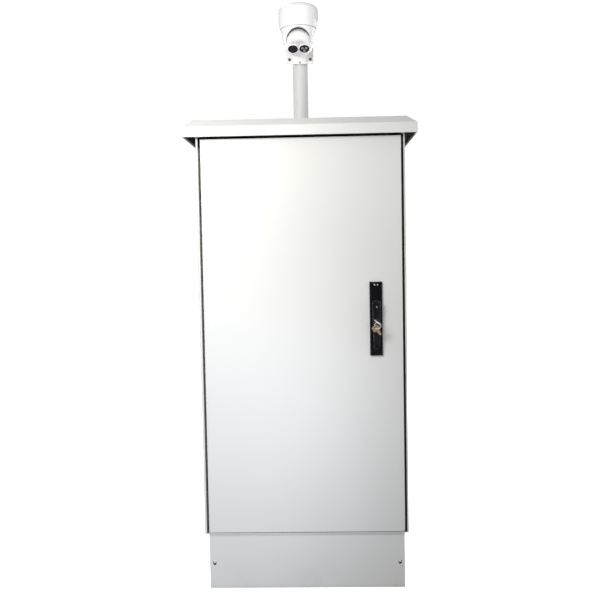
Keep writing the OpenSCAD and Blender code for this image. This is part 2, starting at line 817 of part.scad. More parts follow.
module lock_dish() {
  color(dark) difference() {
    union() {
      translate([lock_x, 0, 0]) bevelled_plate(dish_w / 2, dish_y, front_y, dish_z0, dish_z1, 2);
      for (z = [dish_z0 + 15, dish_z1 - 15])
        round_y(4, front_y - 1, skin_y + 5, lock_x, z);
    }
    round_y(nest_r, dish_y - 1, nest_y, lock_x, lock_z);
    block([lock_x - nest_r, dish_y - 1, lock_z - handle_l], [lock_x + nest_r, nest_y, lock_z]);
    round_y(spindle_d / 2 + running_fit, dish_y - 1, front_y + 1, lock_x, lock_z);
  }
}

module lock_backing_plate() {
  color(zinc) difference() {
    block([lock_x - 16, skin_y, dish_z0 + 2], [lock_x + 16, skin_y + 3, dish_z1 - 2]);
    round_y(spindle_d / 2 + 0.5, skin_y - 1, skin_y + 5, lock_x, lock_z);
    for (z = [dish_z0 + 15, dish_z1 - 15])
      round_y(4.1, skin_y - 1, skin_y + 5, lock_x, z);
  }
}

module lock_spindle() {
  color(zinc) difference() {
    union() {
      round_x(tongue_r, lock_x - tongue_w / 2, lock_x + tongue_w / 2, pin_y, lock_z);
      block([lock_x - tongue_w / 2, pin_y, lock_z - tongue_r],
        [lock_x + tongue_w / 2, nest_y - 2, lock_z + tongue_r]);
      round_y(nest_r - 3, nest_y - 3.5, nest_y - 0.2, lock_x, lock_z);
      round_y(spindle_d / 2, nest_y - 1, cam_y0, lock_x, lock_z);
      block([lock_x - cam_square / 2, cam_y0 - 1, lock_z - cam_square / 2],
        [lock_x + cam_square / 2, cam_y1, lock_z + cam_square / 2]);
    }
    round_x(pin_d / 2 + running_fit, lock_x - 20, lock_x + 20, pin_y, lock_z);
  }
}

module lock_cam() {
  side = cam_square + 0.1;
  color(zinc) difference() {
    union() {
      round_y(crank_r + 6, cam_y0, cam_y1, lock_x, lock_z);
      for (s = [-1, 1])
        round_y(crank_d / 2, cam_y0 + 1, rod_y1 + 1, lock_x + s * crank_off, lock_z + s * crank_off);
    }
    translate([lock_x, 0, lock_z])
      block([-side / 2, cam_y0 - 1, -side / 2], [side / 2, cam_y1 + 1, side / 2]);
  }
}

module swing_handle() {
  boss = handle_w / 2;
  tip = handle_end_w / 2;
  tip_z = tip - handle_l;
  lock_bottom = -barrel_drop - 40;
  color(dark) translate([lock_x, 0, lock_z]) difference() {
    intersection() {
      along_y(handle_front - 5, handle_back + 5) polygon(concat(
        [for (a = [0:10:180]) [boss * cos(a), boss * sin(a)]],
        [for (a = [180:10:360]) [tip * cos(a), tip_z + tip * sin(a)]]));
      along_x(-boss - 1, boss + 1) union() {
        translate([pin_y, 0]) circle(fork_r);
        polygon([[handle_back, 0], [handle_front, 0], [handle_front, -12], [grip_y, -30],
          [grip_y, lock_bottom], [handle_front + 0.8, 14 - handle_l], [handle_front + 4, -handle_l],
          [handle_back - 3, -handle_l], [handle_back, 4 - handle_l]]);
      }
    }
    along_y(grip_y + 2.5, handle_back + 2) polygon([
      [2.6 - boss, -14], [boss - 2.6, -14], [tip - 2.2, 18 - handle_l], [2.2 - tip, 18 - handle_l]]);
    block([-tongue_w / 2 - 0.3, pin_y - tongue_r - 0.3, -tongue_r - 3],
      [tongue_w / 2 + 0.3, handle_back + 5, 20]);
    round_x(pin_d / 2 + running_fit, -20, 20, pin_y, 0);
    round_y(barrel_r + running_fit, handle_front - 5, handle_back + 5, 0, -barrel_drop);
  }
}

module handle_pin() {
  color(zinc) round_x(pin_d / 2, lock_x - handle_w / 2 + 1, lock_x + handle_w / 2 - 1, pin_y, lock_z);
}

module lock_barrel() {
  tail = grip_y + 8;
  color(zinc) translate([lock_x, 0, barrel_z]) difference() {
    union() {
      round_y(barrel_r + 2, collar_y - 1.5, collar_y, 0, 0);
      round_y(barrel_r, collar_y - 1, tail + 2, 0, 0);
      block([-2.5, tail, -7], [2.5, tail + 2.5, 0]);
    }
    rotate([0, key_turn, 0]) block([-4.2, collar_y - 5, -key_t / 2 - 0.15],
      [4.2, grip_y + 7.8, key_t / 2 + 0.15]);
  }
}

module key_blank() {
  w = bow_w / 2;
  translate([0, 0, -key_t / 2]) linear_extrude(key_t) difference() {
    polygon([[bow_end, 4 - w], [bow_end + 4, -w], [bow_start - 4, -w], [bow_start, 5 - w],
      [bow_start + 1, -4], [key_tip - 14, -4], [key_tip - 12, -2.6], [key_tip - 10, -4],
      [key_tip - 8, -3], [key_tip - 6, -3.6], [key_tip - 4, -2], [key_tip, 0], [key_tip - 3, 4],
      [bow_start + 1, 4], [bow_start, w - 5], [bow_start - 4, w], [bow_end + 4, w],
      [bow_end, w - 4]]);
    circle(d = key_eye_d);
  }
}

module lock_key() {
  color(zinc) translate([lock_x, eye_y, barrel_z])
    rotate([0, key_turn, 0]) rotate([0, 0, 90]) key_blank();
}

module key_ring() {
  color(zinc) translate([ring_x, eye_y, ring_z]) rotate([90, 0, 0])
    rotate_extrude() translate([ring_r, 0]) circle(d = ring_wire);
}

module spare_key() {
  color(brass)
    translate([ring_x + ring_r * cos(ring_at_spare), eye_y, ring_z + ring_r * sin(ring_at_spare)])
    rotate([0, spare_turn, 0]) rotate([-55, 0, 0]) rotate([0, 0, 75]) key_blank();
}

module lock_rod(s, far_z) {
  x = lock_x + s * rod_off;
  z = lock_z + s * crank_off;
  low = min(z, far_z);
  high = max(z, far_z);
  color(zinc) difference() {
    union() {
      block([x - rod_w / 2, rod_y0, low], [x + rod_w / 2, rod_y1, high]);
      block([x - slot_x - 4, rod_y0, z - slot_z - 5], [x + slot_x + 4, rod_y1, z + slot_z + 5]);
    }
    block([x - slot_x, rod_y0 - 1, z - slot_z], [x + slot_x, rod_y1 + 1, z + slot_z]);
  }
}

module upper_lock_rod() {
  lock_rod(1, rod_top);
}

module lower_lock_rod() {
  lock_rod(-1, rod_low);
}

module rod_guides() {
  g = rod_w / 2 + rod_gap;
  color(zinc) for (p = [[1, dish_z1 + 60], [1, rod_top - 60], [-1, dish_z0 - 40], [-1, rod_low + 60]])
    translate([lock_x + p[0] * rod_off, 0, p[1]]) difference() {
      block([-g - 2, skin_y, -10], [g + 2, rod_y1 + rod_gap + 2, 10]);
      block([-g, rod_y0 - rod_gap, -11], [g, rod_y1 + rod_gap, 11]);
      block([-g, skin_y + 2, -11], [g, rod_y0 - rod_gap - 2, 11]);
    }
}

// Inside
module mounting_plate() {
  color(zinc) difference() {
    block([-plate_w / 2, plate_y, plate_z0], [plate_w / 2, plate_back, plate_z1]);
    for (x = [-1, 1], z = [plate_z0 + 25, plate_z1 - 25])
      round_y(4.2, plate_y - 1, plate_back + 1, x * (plate_w / 2 - 20), z);
  }
}

module plate_studs() {
  color(zinc) for (x = [-1, 1], z = [plate_z0 + 25, plate_z1 - 25]) {
    sx = x * (plate_w / 2 - 20);
    round_y(6, plate_back, back_y - sheet, sx, z);
    round_y(4, plate_y - 8, plate_back + 1, sx, z);
    round_y(7.5, plate_y - 6, plate_y, sx, z, 6);
  }
}

module mounting_rails() {
  starts = [main_x + main_w / 2 + 12, -rail_x];
  color(zinc) for (i = [0, 1]) translate([0, 0, rail_zs[i]])
    along_x(starts[i], rail_x) folded([
      [rail_y + 0.5, 17.5], [rail_y + 0.5, 13], [plate_y - 0.5, 13], [plate_y - 0.5, -13],
      [rail_y + 0.5, -13], [rail_y + 0.5, -17.5]], 1, 0.4);
}

// Side outline of a device that clips on a rail, around the middle of the rail
function clipped(nose, shoulder, tall, nose_tall) =
  [[plate_y - 3, tall], [plate_y - 3, 18], [rail_y, 18], [rail_y, -18], [plate_y - 3, -18],
    [plate_y - 3, -tall], [shoulder, -tall], [shoulder, -nose_tall], [nose, -nose_tall],
    [nose, nose_tall], [shoulder, nose_tall], [shoulder, tall]];

module branch_breaker(x) {
  color(white) translate([x, 0, rail_zs[0]]) difference() {
    along_x(-branch_w / 2, branch_w / 2) polygon(clipped(nose_y, plate_y - 42, 42, 23));
    round_x(6.4, -3, 3, lever_y, 0);
    block([-3, nose_y - 1, -7.5], [3, lever_y, 7.5]);
    round_x(1.5 + running_fit, -5.2, 5.2, lever_y, 0);
    for (z = [-33, 33])
      round_y(3.5, plate_y - 43, plate_y - 34, 0, z);
  }
}

module branch_lever(x) {
  color(dark) translate([x, lever_y, rail_zs[0]]) rotate([-lever_up, 0, 0]) union() {
    round_x(6, -2.6, 2.6, 0, 0);
    round_x(1.5, -5, 5, 0, 0);
    block([-2.6, -16, -2], [2.6, 0, 2]);
  }
}

module branch_breaker_1() {
  branch_breaker(branch_xs[0]);
}

module branch_breaker_2() {
  branch_breaker(branch_xs[1]);
}

module branch_breaker_3() {
  branch_breaker(branch_xs[2]);
}

module branch_lever_1() {
  branch_lever(branch_xs[0]);
}

module branch_lever_2() {
  branch_lever(branch_xs[1]);
}

module branch_lever_3() {
  branch_lever(branch_xs[2]);
}

module main_breaker() {
  color(dark) translate([main_x, 0, main_z]) difference() {
    along_x(-main_w / 2, main_w / 2) polygon([
      [plate_y, main_h / 2], [plate_y, -main_h / 2], [plate_y - 62, -main_h / 2],
      [plate_y - 62, -30], [main_nose, -30], [main_nose, 30], [plate_y - 62, 30],
      [plate_y - 62, main_h / 2]]);
    round_x(9.5, -8.5, 8.5, main_lever_y, 0);
    block([-8.5, main_nose - 1, -13], [8.5, main_lever_y, 13]);
    round_x(2 + running_fit, -11.2, 11.2, main_lever_y, 0);
    for (i = [-1, 0, 1], s = [-1, 1])
      translate([i * (main_w - 1) / 3, 0, s * (main_h / 2 - 8)])
        block([-9, plate_y - 63, -9], [9, plate_y - 40, 9]);
  }
}

module main_lever() {
  color(dark) translate([main_x, main_lever_y, main_z]) rotate([-30, 0, 0]) union() {
    round_x(9, -8, 8, 0, 0);
    round_x(2, -11, 11, 0, 0);
    block([-7, -27, -3], [7, 0, 3]);
  }
}

module surge_protector() {
  color(white) translate([95, 0, rail_zs[0]]) difference() {
    along_x(-26, 26) polygon(clipped(nose_y, plate_y - 42, 45, 23));
    for (x = [-9, 9])
      block([x - 0.5, nose_y - 1, -30], [x + 0.5, nose_y + 12, 30]);
    for (x = [-17, 0, 17], z = [-34, 34])
      round_y(3.5, plate_y - 43, plate_y - 34, x, z);
  }
}

module power_supply() {
  color(zinc) translate([-rail_x + 5, 0, plate_z0 + 190]) difference() {
    block([0, plate_y - supply_d, 0], [supply_w, plate_y, supply_h]);
    block([6, plate_y - supply_d - 1, -1], [supply_w - 6, plate_y - supply_d / 2, 24]);
  }
}

module terminal_blocks() {
  color([0.75, 0.72, 0.6]) translate([main_x, 0, rail_zs[1]]) union() {
    along_x(0, 124) polygon(clipped(plate_y - 30, plate_y - 26, 26, 16));
    for (i = [0:19])
      along_x(i * 6.2, i * 6.2 + 5.2) polygon(clipped(plate_y - 44, plate_y - 36, 26, 12));
  }
}

module bus_bar(x, z, length) {
  translate([x, 0, z]) union() {
    block([0, plate_y - 28, -10], [length, plate_y - 24, 10]);
    for (s = [15, length - 15])
      round_y(7, plate_y - 25, plate_y, s, 0);
    for (i = [0:7])
      round_y(4.5, plate_y - 32, plate_y - 27, 40 + i * (length - 80) / 7, 0);
  }
}

module earth_bar() {
  color(copper) bus_bar(-rail_x, plate_z0 + earth_up, bar_length);
}

module neutral_bar() {
  color(copper) bus_bar(-rail_x, plate_z0 + neutral_up, bar_length);
}

plinth_frame();
plinth_front_panel();
plinth_screws();
left_side_panel();
right_side_panel();
back_panel();
top_plate();
floor_plate();
header_rail();
sill_rail();
gland_plate();
cable_glands();
canopy();
canopy_soffit();
canopy_bolts();
mast();
mast_backing_plate();
mast_bolts();
mast_cap();
camera_bracket();
bracket_screws();
hinge_frame_leaves();
hinge_pins();
mounting_plate();
plate_studs();
mounting_rails();
main_breaker();
branch_breaker_1();
branch_breaker_2();
branch_breaker_3();
surge_protector();
power_supply();
terminal_blocks();
earth_bar();
neutral_bar();
main_lever();
branch_lever_1();
branch_lever_2();
branch_lever_3();
door_panel();
door_gasket();
door_stiffeners();
hinge_door_leaves();
lock_dish();
lock_backing_plate();
rod_guides();
lock_spindle();
lock_cam();
swing_handle();
handle_pin();
lock_barrel();
lock_key();
key_ring();
spare_key();
upper_lock_rod();
lower_lock_rod();
camera_base();
camera_ball();
camera_face();
camera_windows();
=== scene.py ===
"""Looks of an outdoor distribution cabinet on a plinth, with a rain canopy, a rod lock and a roof
mast that carries an eyeball camera. Everything is in the frame of the solids. Places are in metres,
and sizes that are written out are in millimetres."""

import json
import math

import bmesh
import bpy
from mathutils import Matrix, Vector

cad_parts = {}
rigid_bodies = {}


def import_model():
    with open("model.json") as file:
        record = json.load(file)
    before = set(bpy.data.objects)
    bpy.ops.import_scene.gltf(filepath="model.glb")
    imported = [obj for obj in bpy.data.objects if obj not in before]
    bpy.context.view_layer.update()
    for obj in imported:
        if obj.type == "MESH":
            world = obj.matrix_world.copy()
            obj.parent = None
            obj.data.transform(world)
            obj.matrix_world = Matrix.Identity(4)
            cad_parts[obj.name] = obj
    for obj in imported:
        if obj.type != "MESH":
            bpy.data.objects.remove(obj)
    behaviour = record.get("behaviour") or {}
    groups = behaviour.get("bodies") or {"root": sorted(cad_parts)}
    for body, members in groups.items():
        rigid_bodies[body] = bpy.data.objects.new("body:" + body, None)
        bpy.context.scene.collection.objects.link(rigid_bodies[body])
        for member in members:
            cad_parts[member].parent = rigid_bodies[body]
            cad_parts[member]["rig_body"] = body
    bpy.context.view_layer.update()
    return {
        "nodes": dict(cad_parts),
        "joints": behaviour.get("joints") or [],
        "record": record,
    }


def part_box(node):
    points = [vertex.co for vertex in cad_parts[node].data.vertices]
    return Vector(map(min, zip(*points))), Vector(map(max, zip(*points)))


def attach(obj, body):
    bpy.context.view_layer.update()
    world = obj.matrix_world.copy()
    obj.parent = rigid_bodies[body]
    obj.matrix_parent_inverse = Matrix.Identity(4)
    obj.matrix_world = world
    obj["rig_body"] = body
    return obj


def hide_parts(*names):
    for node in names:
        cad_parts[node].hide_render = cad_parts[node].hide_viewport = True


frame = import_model()

MM = 0.001
NODES = frame["nodes"]
SLOT_OF = {part["node"]: part["material_slot"] for part in frame["record"]["subparts"]}
ACROSS = Vector((1.0, 0.0, 0.0))
FORWARD = Vector((0.0, -1.0, 0.0))
UP = Vector((0.0, 0.0, 1.0))


# Trees


class Wire:
    """One output socket. Arithmetic on wires adds Math nodes to the tree they belong to."""

    def __init__(self, tree, socket):
        self.tree = tree
        self.socket = socket

    def maths(self, operation, first, second):
        return self.tree.add("ShaderNodeMath", {"operation": operation}, {0: first, 1: second})

    def __add__(self, other):
        return self.maths("ADD", self, other)

    def __radd__(self, other):
        return self.maths("ADD", other, self)

    def __sub__(self, other):
        return self.maths("SUBTRACT", self, other)

    def __rsub__(self, other):
        return self.maths("SUBTRACT", other, self)

    def __mul__(self, other):
        return self.maths("MULTIPLY", self, other)

    def __rmul__(self, other):
        return self.maths("MULTIPLY", other, self)


def find(sockets, key):
    """The socket with that number or name, or the first one in use."""
    if isinstance(key, int):
        return sockets[key]
    return next(s for s in sockets if s.enabled and key in (None, s.name))


class Tree:
    """A node tree. Every node comes in through add()."""

    def __init__(self, group):
        self.group = group

    def add(self, kind, settings=None, inputs=None, out=None):
        """A new node: its settings first, then the values or wires of its inputs."""
        node = self.group.nodes.new(kind)
        for name, value in (settings or {}).items():
            setattr(node, name, value)
        for name, value in (inputs or {}).items():
            self.feed(find(node.inputs, name), value)
        return Wire(self, find(node.outputs, out)) if node.outputs else node

    def feed(self, socket, value):
        for one in value if isinstance(value, list) else [value]:
            if isinstance(one, Wire):
                self.group.links.new(one.socket, socket)
            else:
                socket.default_value = one


class Finish(Tree):
    """A procedural material that reads Object coordinates."""

    def __init__(self, name, fixed=None):
        self.material = bpy.data.materials.new(name)
        self.material.use_nodes = True
        super().__init__(self.material.node_tree)
        self.group.nodes.clear()
        self.shader = self.add("ShaderNodeBsdfPrincipled", None, fixed)
        self.add("ShaderNodeOutputMaterial", None, {"Surface": self.shader})
        self.place = self.add("ShaderNodeTexCoord", out="Object")

    def surface(self, inputs):
        for name, value in inputs.items():
            self.feed(find(self.shader.socket.node.inputs, name), value)
        return self.material

    def stretched(self, scale):
        return self.add("ShaderNodeMapping", None, {"Vector": self.place, "Scale": scale})

    def noise(self, scale, detail=2.0, stretch=None):
        where = self.stretched(stretch) if stretch else self.place
        return self.add(
            "ShaderNodeTexNoise", None, {"Vector": where, "Scale": scale, "Detail": detail}
        )

    def cells(self, scale, out="Distance"):
        inputs = {"Vector": self.place, "Scale": scale}
        return self.add("ShaderNodeTexVoronoi", {"feature": "F1"}, inputs, out)

    def height(self):
        return self.add("ShaderNodeSeparateXYZ", None, {"Vector": self.place}, "Z")

    def edge(self):
        """1 on the rounded strips along a piece's edges, 0 elsewhere."""
        named = {"attribute_type": "GEOMETRY", "attribute_name": "edge"}
        return self.add("ShaderNodeAttribute", named, out="Fac")

    def spread(self, value, low, high, to_low=0.0, to_high=1.0):
        ends = {"From Min": low, "From Max": high, "To Min": to_low, "To Max": to_high}
        return self.add("ShaderNodeMapRange", {"clamp": True}, {"Value": value, **ends})

    def mix(self, factor, first, second):
        inputs = {"Factor": factor, "A": first, "B": second}
        return self.add("ShaderNodeMix", {"data_type": "RGBA"}, inputs, "Result")

    def bump(self, relief, strength, depth, normal=None):
        inputs = {"Strength": strength, "Distance": depth, "Height": relief}
        if normal:
            inputs["Normal"] = normal
        return self.add("ShaderNodeBump", None, inputs)


class Repeat(Tree):
    """A Geometry Nodes tree with named sizes, made into one plain mesh for each use."""

    KINDS = {float: "NodeSocketFloat", int: "NodeSocketInt"}

    def __init__(self, name, sizes):
        super().__init__(bpy.data.node_groups.new(name, "GeometryNodeTree"))
        face = self.group.interface
        face.new_socket("Geometry", in_out="INPUT", socket_type="NodeSocketGeometry")
        face.new_socket("Geometry", in_out="OUTPUT", socket_type="NodeSocketGeometry")
        material = face.new_socket("Finish", in_out="INPUT", socket_type="NodeSocketMaterial")
        self.keys = {"Finish": material.identifier}
        for label, kind in sizes.items():
            item = face.new_socket(label, in_out="INPUT", socket_type=self.KINDS[kind])
            self.keys[label] = item.identifier
        self.source = self.add("NodeGroupInput").socket.node

    def given(self, label):
        return Wire(self, self.source.outputs[label])

    def vector(self, x, y, z):
        return self.add("ShaderNodeCombineXYZ", None, {"X": x, "Y": y, "Z": z})

    def moved(self, geometry, shift=(0, 0, 0), scale=(1, 1, 1)):
        inputs = {"Geometry": geometry, "Translation": shift, "Scale": scale}
        return self.add("GeometryNodeTransform", None, inputs)

    def close(self, geometry):
        """Ends the tree: instances become mesh and take the finish."""
        real = self.add("GeometryNodeRealizeInstances", None, {"Geometry": geometry})
        inputs = {"Geometry": real, "Material": self.given("Finish")}
        done = self.add("GeometryNodeSetMaterial", None, inputs)
        self.add("NodeGroupOutput", None, {"Geometry": done})

    def make(self, name, seats, finish, sizes):
        """One mesh object from seats, which are (place, facing) pairs."""
        points = bpy.data.meshes.new(name + "_seats")
        points.from_pydata([place for place, _ in seats], [], [])
        facing = points.attributes.new("facing", "FLOAT_VECTOR", "POINT")
        for item, (_, way) in zip(facing.data, seats):
            item.vector = way
        carrier = bpy.data.objects.new(name + "_carrier", points)
        bpy.context.scene.collection.objects.link(carrier)
        modifier = carrier.modifiers.new("repeat", "NODES")
        modifier.node_group = self.group
        modifier[self.keys["Finish"]] = finish
        for label, value in sizes.items():
            modifier[self.keys[label]] = value
        depsgraph = bpy.context.evaluated_depsgraph_get()
        mesh = bpy.data.meshes.new_from_object(carrier.evaluated_get(depsgraph))
        bpy.data.objects.remove(carrier)
        mesh.name = name
        piece = bpy.data.objects.new(name, mesh)
        bpy.context.scene.collection.objects.link(piece)
        return piece


# Finishes. Colours are linear light.


def shade(red, green=None, blue=None):
    if green is None:
        green = blue = red
    return (red, green, blue, 1.0)


PAINT = shade(0.565, 0.565, 0.552)
PAINT_COOL = shade(0.540, 0.547, 0.545)
PAINT_PIT = shade(0.480, 0.480, 0.470)
# Paler tone of the folds: partly wear from rubbing, partly a painted highlight.
PAINT_RUBBED_AND_HIGHLIGHT = shade(0.650, 0.650, 0.640)
SPLASH_DUST = shade(0.400, 0.375, 0.335)


def powder_coat():
    """Light grey powder coat: fine orange peel, a slow drift of tone, a dusty foot, and paler
    folds, partly wear from rubbing and partly a painted highlight.
    """
    f = Finish("powder_coat", {"Specular IOR Level": 0.42})
    drift = f.spread(f.noise(1.6, 3.0), 0.35, 0.65)
    grain = f.noise(560.0, 2.0)
    pits = f.spread(grain, 0.56, 0.74, 0.0, 0.30)
    foot = 1.0 - f.spread(f.height(), 0.0, 0.11)
    splash = foot * f.spread(f.noise(14.0, 5.0), 0.42, 0.72)
    # Paler folds: wear from rubbing and a painted highlight along the rounded edges.
    rubbed_and_highlight = f.edge() * f.spread(f.noise(38.0, 4.0), 0.44, 0.66, 0.15, 0.75)
    tone = f.mix(drift, PAINT, PAINT_COOL)
    tone = f.mix(pits, tone, PAINT_PIT)
    tone = f.mix(splash * 0.22, tone, SPLASH_DUST)
    tone = f.mix(rubbed_and_highlight, tone, PAINT_RUBBED_AND_HIGHLIGHT)
    peel = f.bump(f.noise(430.0, 2.0), 0.16, 0.25 * MM)
    waves = f.bump(f.noise(3.4, 1.0), 0.05, 6.0 * MM, peel)
    rough = f.spread(grain, 0.3, 0.7, 0.40, 0.52) + splash * 0.2
    return f.surface({"Base Color": tone, "Roughness": rough, "Normal": waves})


def moulded(name, base, low, roughness, grain=900.0, rubbed_and_highlight=None, fixed=None):
    """Moulded plastic: two close tones, a fine spark-eroded grain, and paler edges, partly wear
    from rubbing and partly a painted highlight.
    """
    f = Finish(name, fixed)
    flow = f.spread(f.noise(22.0, 3.0), 0.35, 0.65)
    skin_grain = f.noise(grain, 2.0)
    tone = f.mix(flow, base, low)
    if rubbed_and_highlight:
        # Paler edges: wear from rubbing and a painted highlight along the rounded edges.
        worn_and_highlight = f.edge() * f.spread(f.noise(140.0, 4.0), 0.42, 0.64, 0.1, 0.9)
        tone = f.mix(worn_and_highlight, tone, rubbed_and_highlight)
    relief = f.bump(skin_grain, 0.14, 0.12 * MM)
    rough = f.spread(skin_grain, 0.3, 0.7, roughness - 0.05, roughness + 0.07)
    return f.surface({"Base Color": tone, "Roughness": rough, "Normal": relief})


def plated(name, bright, dull, roughness, stain=34.0, metal=1.0):
    """Plated or bare metal: drawn lines one way, dull patches, and lighter edges that are a painted
    highlight.
    """
    f = Finish(name, {"Metallic": metal})
    lines = f.noise(1.0, 3.0, (60.0, 900.0, 900.0))
    patches = f.spread(f.noise(stain, 4.0), 0.40, 0.68)
    tone = f.mix(patches, bright, dull)
    # Lighter edges: a painted highlight along the rounded strips.
    tone = f.mix(f.edge() * 0.5, tone, bright)
    relief = f.bump(lines, 0.10, 0.05 * MM)
    rough = f.spread(lines, 0.3, 0.7, roughness - 0.05, roughness + 0.08) + patches * 0.10
    return f.surface({"Base Color": tone, "Roughness": rough, "Normal": relief})


def zinc_sheet():
    """Zinc plate: flat crystals of slightly different grey, some dull bloom."""
    f = Finish("zinc_sheet", {"Metallic": 0.85})
    crystal = f.cells(150.0, "Color")
    grey = f.add("ShaderNodeRGBToBW", None, {"Color": crystal})
    bloom = f.spread(f.noise(11.0, 4.0), 0.45, 0.75)
    tone = f.mix(grey, shade(0.47, 0.48, 0.50), shade(0.58, 0.59, 0.60))
    tone = f.mix(bloom * 0.4, tone, shade(0.50, 0.49, 0.465))
    relief = f.bump(f.noise(300.0, 3.0), 0.08, 0.08 * MM)
    rough = f.spread(grey, 0.2, 0.8, 0.42, 0.52) + bloom * 0.12
    return f.surface({"Base Color": tone, "Roughness": rough, "Normal": relief})


def seal_rubber():
    """Soft black seal: closed foam skin with a pale bloom."""
    f = Finish("seal_rubber")
    pores = f.cells(420.0)
    bloom = f.spread(f.noise(26.0, 4.0), 0.45, 0.75)
    tone = f.mix(bloom * 0.5, shade(0.012), shade(0.040, 0.040, 0.042))
    relief = f.bump(pores, 0.35, 0.4 * MM)
    rough = f.spread(pores, 0.0, 0.7, 0.62, 0.85)
    return f.surface({"Base Color": tone, "Roughness": rough, "Normal": relief})


def soffit_foam():
    """Open black foam, as on the strip under the canopy. It is near-black so that it also paints
    the shade under the canopy and in the door's gaps, where it lines the channel and its teeth.
    """
    f = Finish("soffit_foam", {"Specular IOR Level": 0.02})
    pores = f.cells(240.0)
    tone = f.mix(f.spread(pores, 0.1, 0.6), shade(0.003), shade(0.012))
    relief = f.bump(pores, 0.8, 1.0 * MM)
    rough = f.spread(pores, 0.0, 0.8, 0.8, 0.95)
    return f.surface({"Base Color": tone, "Roughness": rough, "Normal": relief})


def coated_glass():
    """Dark coated glass with a faint smear."""
    fixed = {"Specular IOR Level": 0.3, "Coat Weight": 0.25, "Coat Roughness": 0.03}
    f = Finish("coated_glass", fixed)
    smear = f.noise(90.0, 4.0, (1.0, 1.0, 3.0))
    dark, violet = shade(0.004, 0.004, 0.006), shade(0.010, 0.009, 0.016)
    tone = f.mix(f.spread(smear, 0.4, 0.7), dark, violet)
    relief = f.bump(smear, 0.02, 0.05 * MM)
    rough = f.spread(smear, 0.3, 0.8, 0.04, 0.14)
    return f.surface({"Base Color": tone, "Roughness": rough, "Normal": relief})


FINISHES = {
    "body_paint": powder_coat(),
    "black_foam": soffit_foam(),
    "gasket_rubber": seal_rubber(),
    "zinc_steel": zinc_sheet(),
    "black_plastic": moulded("black_cap", shade(0.020), shade(0.030), 0.48, 700.0, shade(0.07)),
    "lock_black": moulded(
        "lock_satin", shade(0.0018, 0.0014, 0.0024), shade(0.0034, 0.0028, 0.0042), 0.40, 1100.0,
        shade(0.030, 0.027, 0.033), {"Specular IOR Level": 0.06},
    ),
    "nickel": plated(
        "key_nickel", shade(0.86, 0.85, 0.83), shade(0.66, 0.64, 0.61), 0.24, metal=0.55
    ),
    "key_brass": plated(
        "key_brass", shade(0.47, 0.36, 0.23), shade(0.27, 0.20, 0.12), 0.30, 150.0, 0.55
    ),
    "camera_white": moulded(
        "shell_white", shade(0.76, 0.76, 0.765), shade(0.73, 0.73, 0.735), 0.24, 1300.0,
        shade(0.80), {"Coat Weight": 0.25, "Coat Roughness": 0.08},
    ),
    "camera_face_grey": moulded(
        "face_lavender", shade(0.60, 0.575, 0.635), shade(0.56, 0.535, 0.595), 0.30, 1300.0,
        shade(0.70),
    ),
    "camera_glass": coated_glass(),
    "brown_screw": plated(
        "browned_zinc", shade(0.24, 0.14, 0.075), shade(0.10, 0.055, 0.03), 0.46, 420.0
    ),
    "breaker_black": moulded(
        "breaker_black", shade(0.022), shade(0.030), 0.46, 800.0, shade(0.075)
    ),
    "breaker_white": moulded(
        "breaker_pale", shade(0.62, 0.62, 0.60), shade(0.57, 0.57, 0.55), 0.44, 800.0, shade(0.72)
    ),
    "lever_black": moulded("lever_black", shade(0.016), shade(0.024), 0.40, 800.0, shade(0.08)),
    "supply_metal": plated(
        "supply_sheet", shade(0.66, 0.67, 0.68), shade(0.55, 0.56, 0.57), 0.36
    ),
    "terminal_beige": moulded(
        "terminal_beige", shade(0.42, 0.38, 0.29), shade(0.37, 0.33, 0.25), 0.46, 800.0,
        shade(0.52, 0.48, 0.38),
    ),
    "bar_brass": plated(
        "bar_brass", shade(0.72, 0.50, 0.24), shade(0.52, 0.34, 0.16), 0.30, 60.0
    ),
}
SCREW_ZINC = plated(
    "screw_zinc", shade(0.62, 0.62, 0.61), shade(0.42, 0.41, 0.39), 0.34, 300.0
)
# A pale zinc for the plinth's screw heads, which also paints their highlight.
SCREW_HIGHLIGHT_ZINC = plated(
    "screw_bright", shade(0.88, 0.87, 0.85), shade(0.70, 0.69, 0.67), 0.28, 300.0, 0.35
)
PIN_BRIGHT = plated(
    "pin_bright", shade(0.90, 0.90, 0.89), shade(0.78, 0.78, 0.77), 0.24, 500.0, 0.4
)
REFLECTOR = plated(
    "reflector_silver", shade(0.62, 0.62, 0.64), shade(0.46, 0.46, 0.48), 0.22, 600.0
)
LED_AMBER = moulded("led_resin", shade(0.50, 0.40, 0.18), shade(0.42, 0.33, 0.14), 0.18, 1500.0)
# Its much paler edge tone paints the highlight along the handle's chamfered left flank.
HANDLE_SATIN = moulded(
    "handle_satin", shade(0.0022, 0.0018, 0.0028), shade(0.0042, 0.0035, 0.0050), 0.40, 1100.0,
    shade(0.125, 0.115, 0.130), {"Specular IOR Level": 0.10},
)
BLACK_CHROME = plated(
    "black_chrome", shade(0.040, 0.038, 0.041), shade(0.022, 0.020, 0.022), 0.32, 300.0
)
SEAM_GREY = moulded("seam_grey", shade(0.30, 0.28, 0.29), shade(0.24, 0.225, 0.235), 0.55, 700.0)
RIVET_GREY = plated("rivet_grey", shade(0.30, 0.29, 0.30), shade(0.20, 0.19, 0.20), 0.36, 300.0)
TRIM_GREY = moulded(
    "trim_grey", shade(0.060, 0.059, 0.054), shade(0.048, 0.047, 0.043), 0.60, 600.0
)
# Near-black: paints the shade in the plinth's screw holes and inside the power supply behind its
# pierced cover, and is the arm plug's own black.
HOLLOW_SHADE_AND_BLACK = moulded("hollow_dark", shade(0.006), shade(0.010), 0.75, 400.0)

OWN_FINISH = {
    "swing_handle": HANDLE_SATIN, "lock_spindle": BLACK_CHROME, "lock_barrel": BLACK_CHROME,
}


def finish_of(node):
    """The node's own finish, or the finish of its material slot."""
    return OWN_FINISH.get(node) or FINISHES[SLOT_OF[node]]


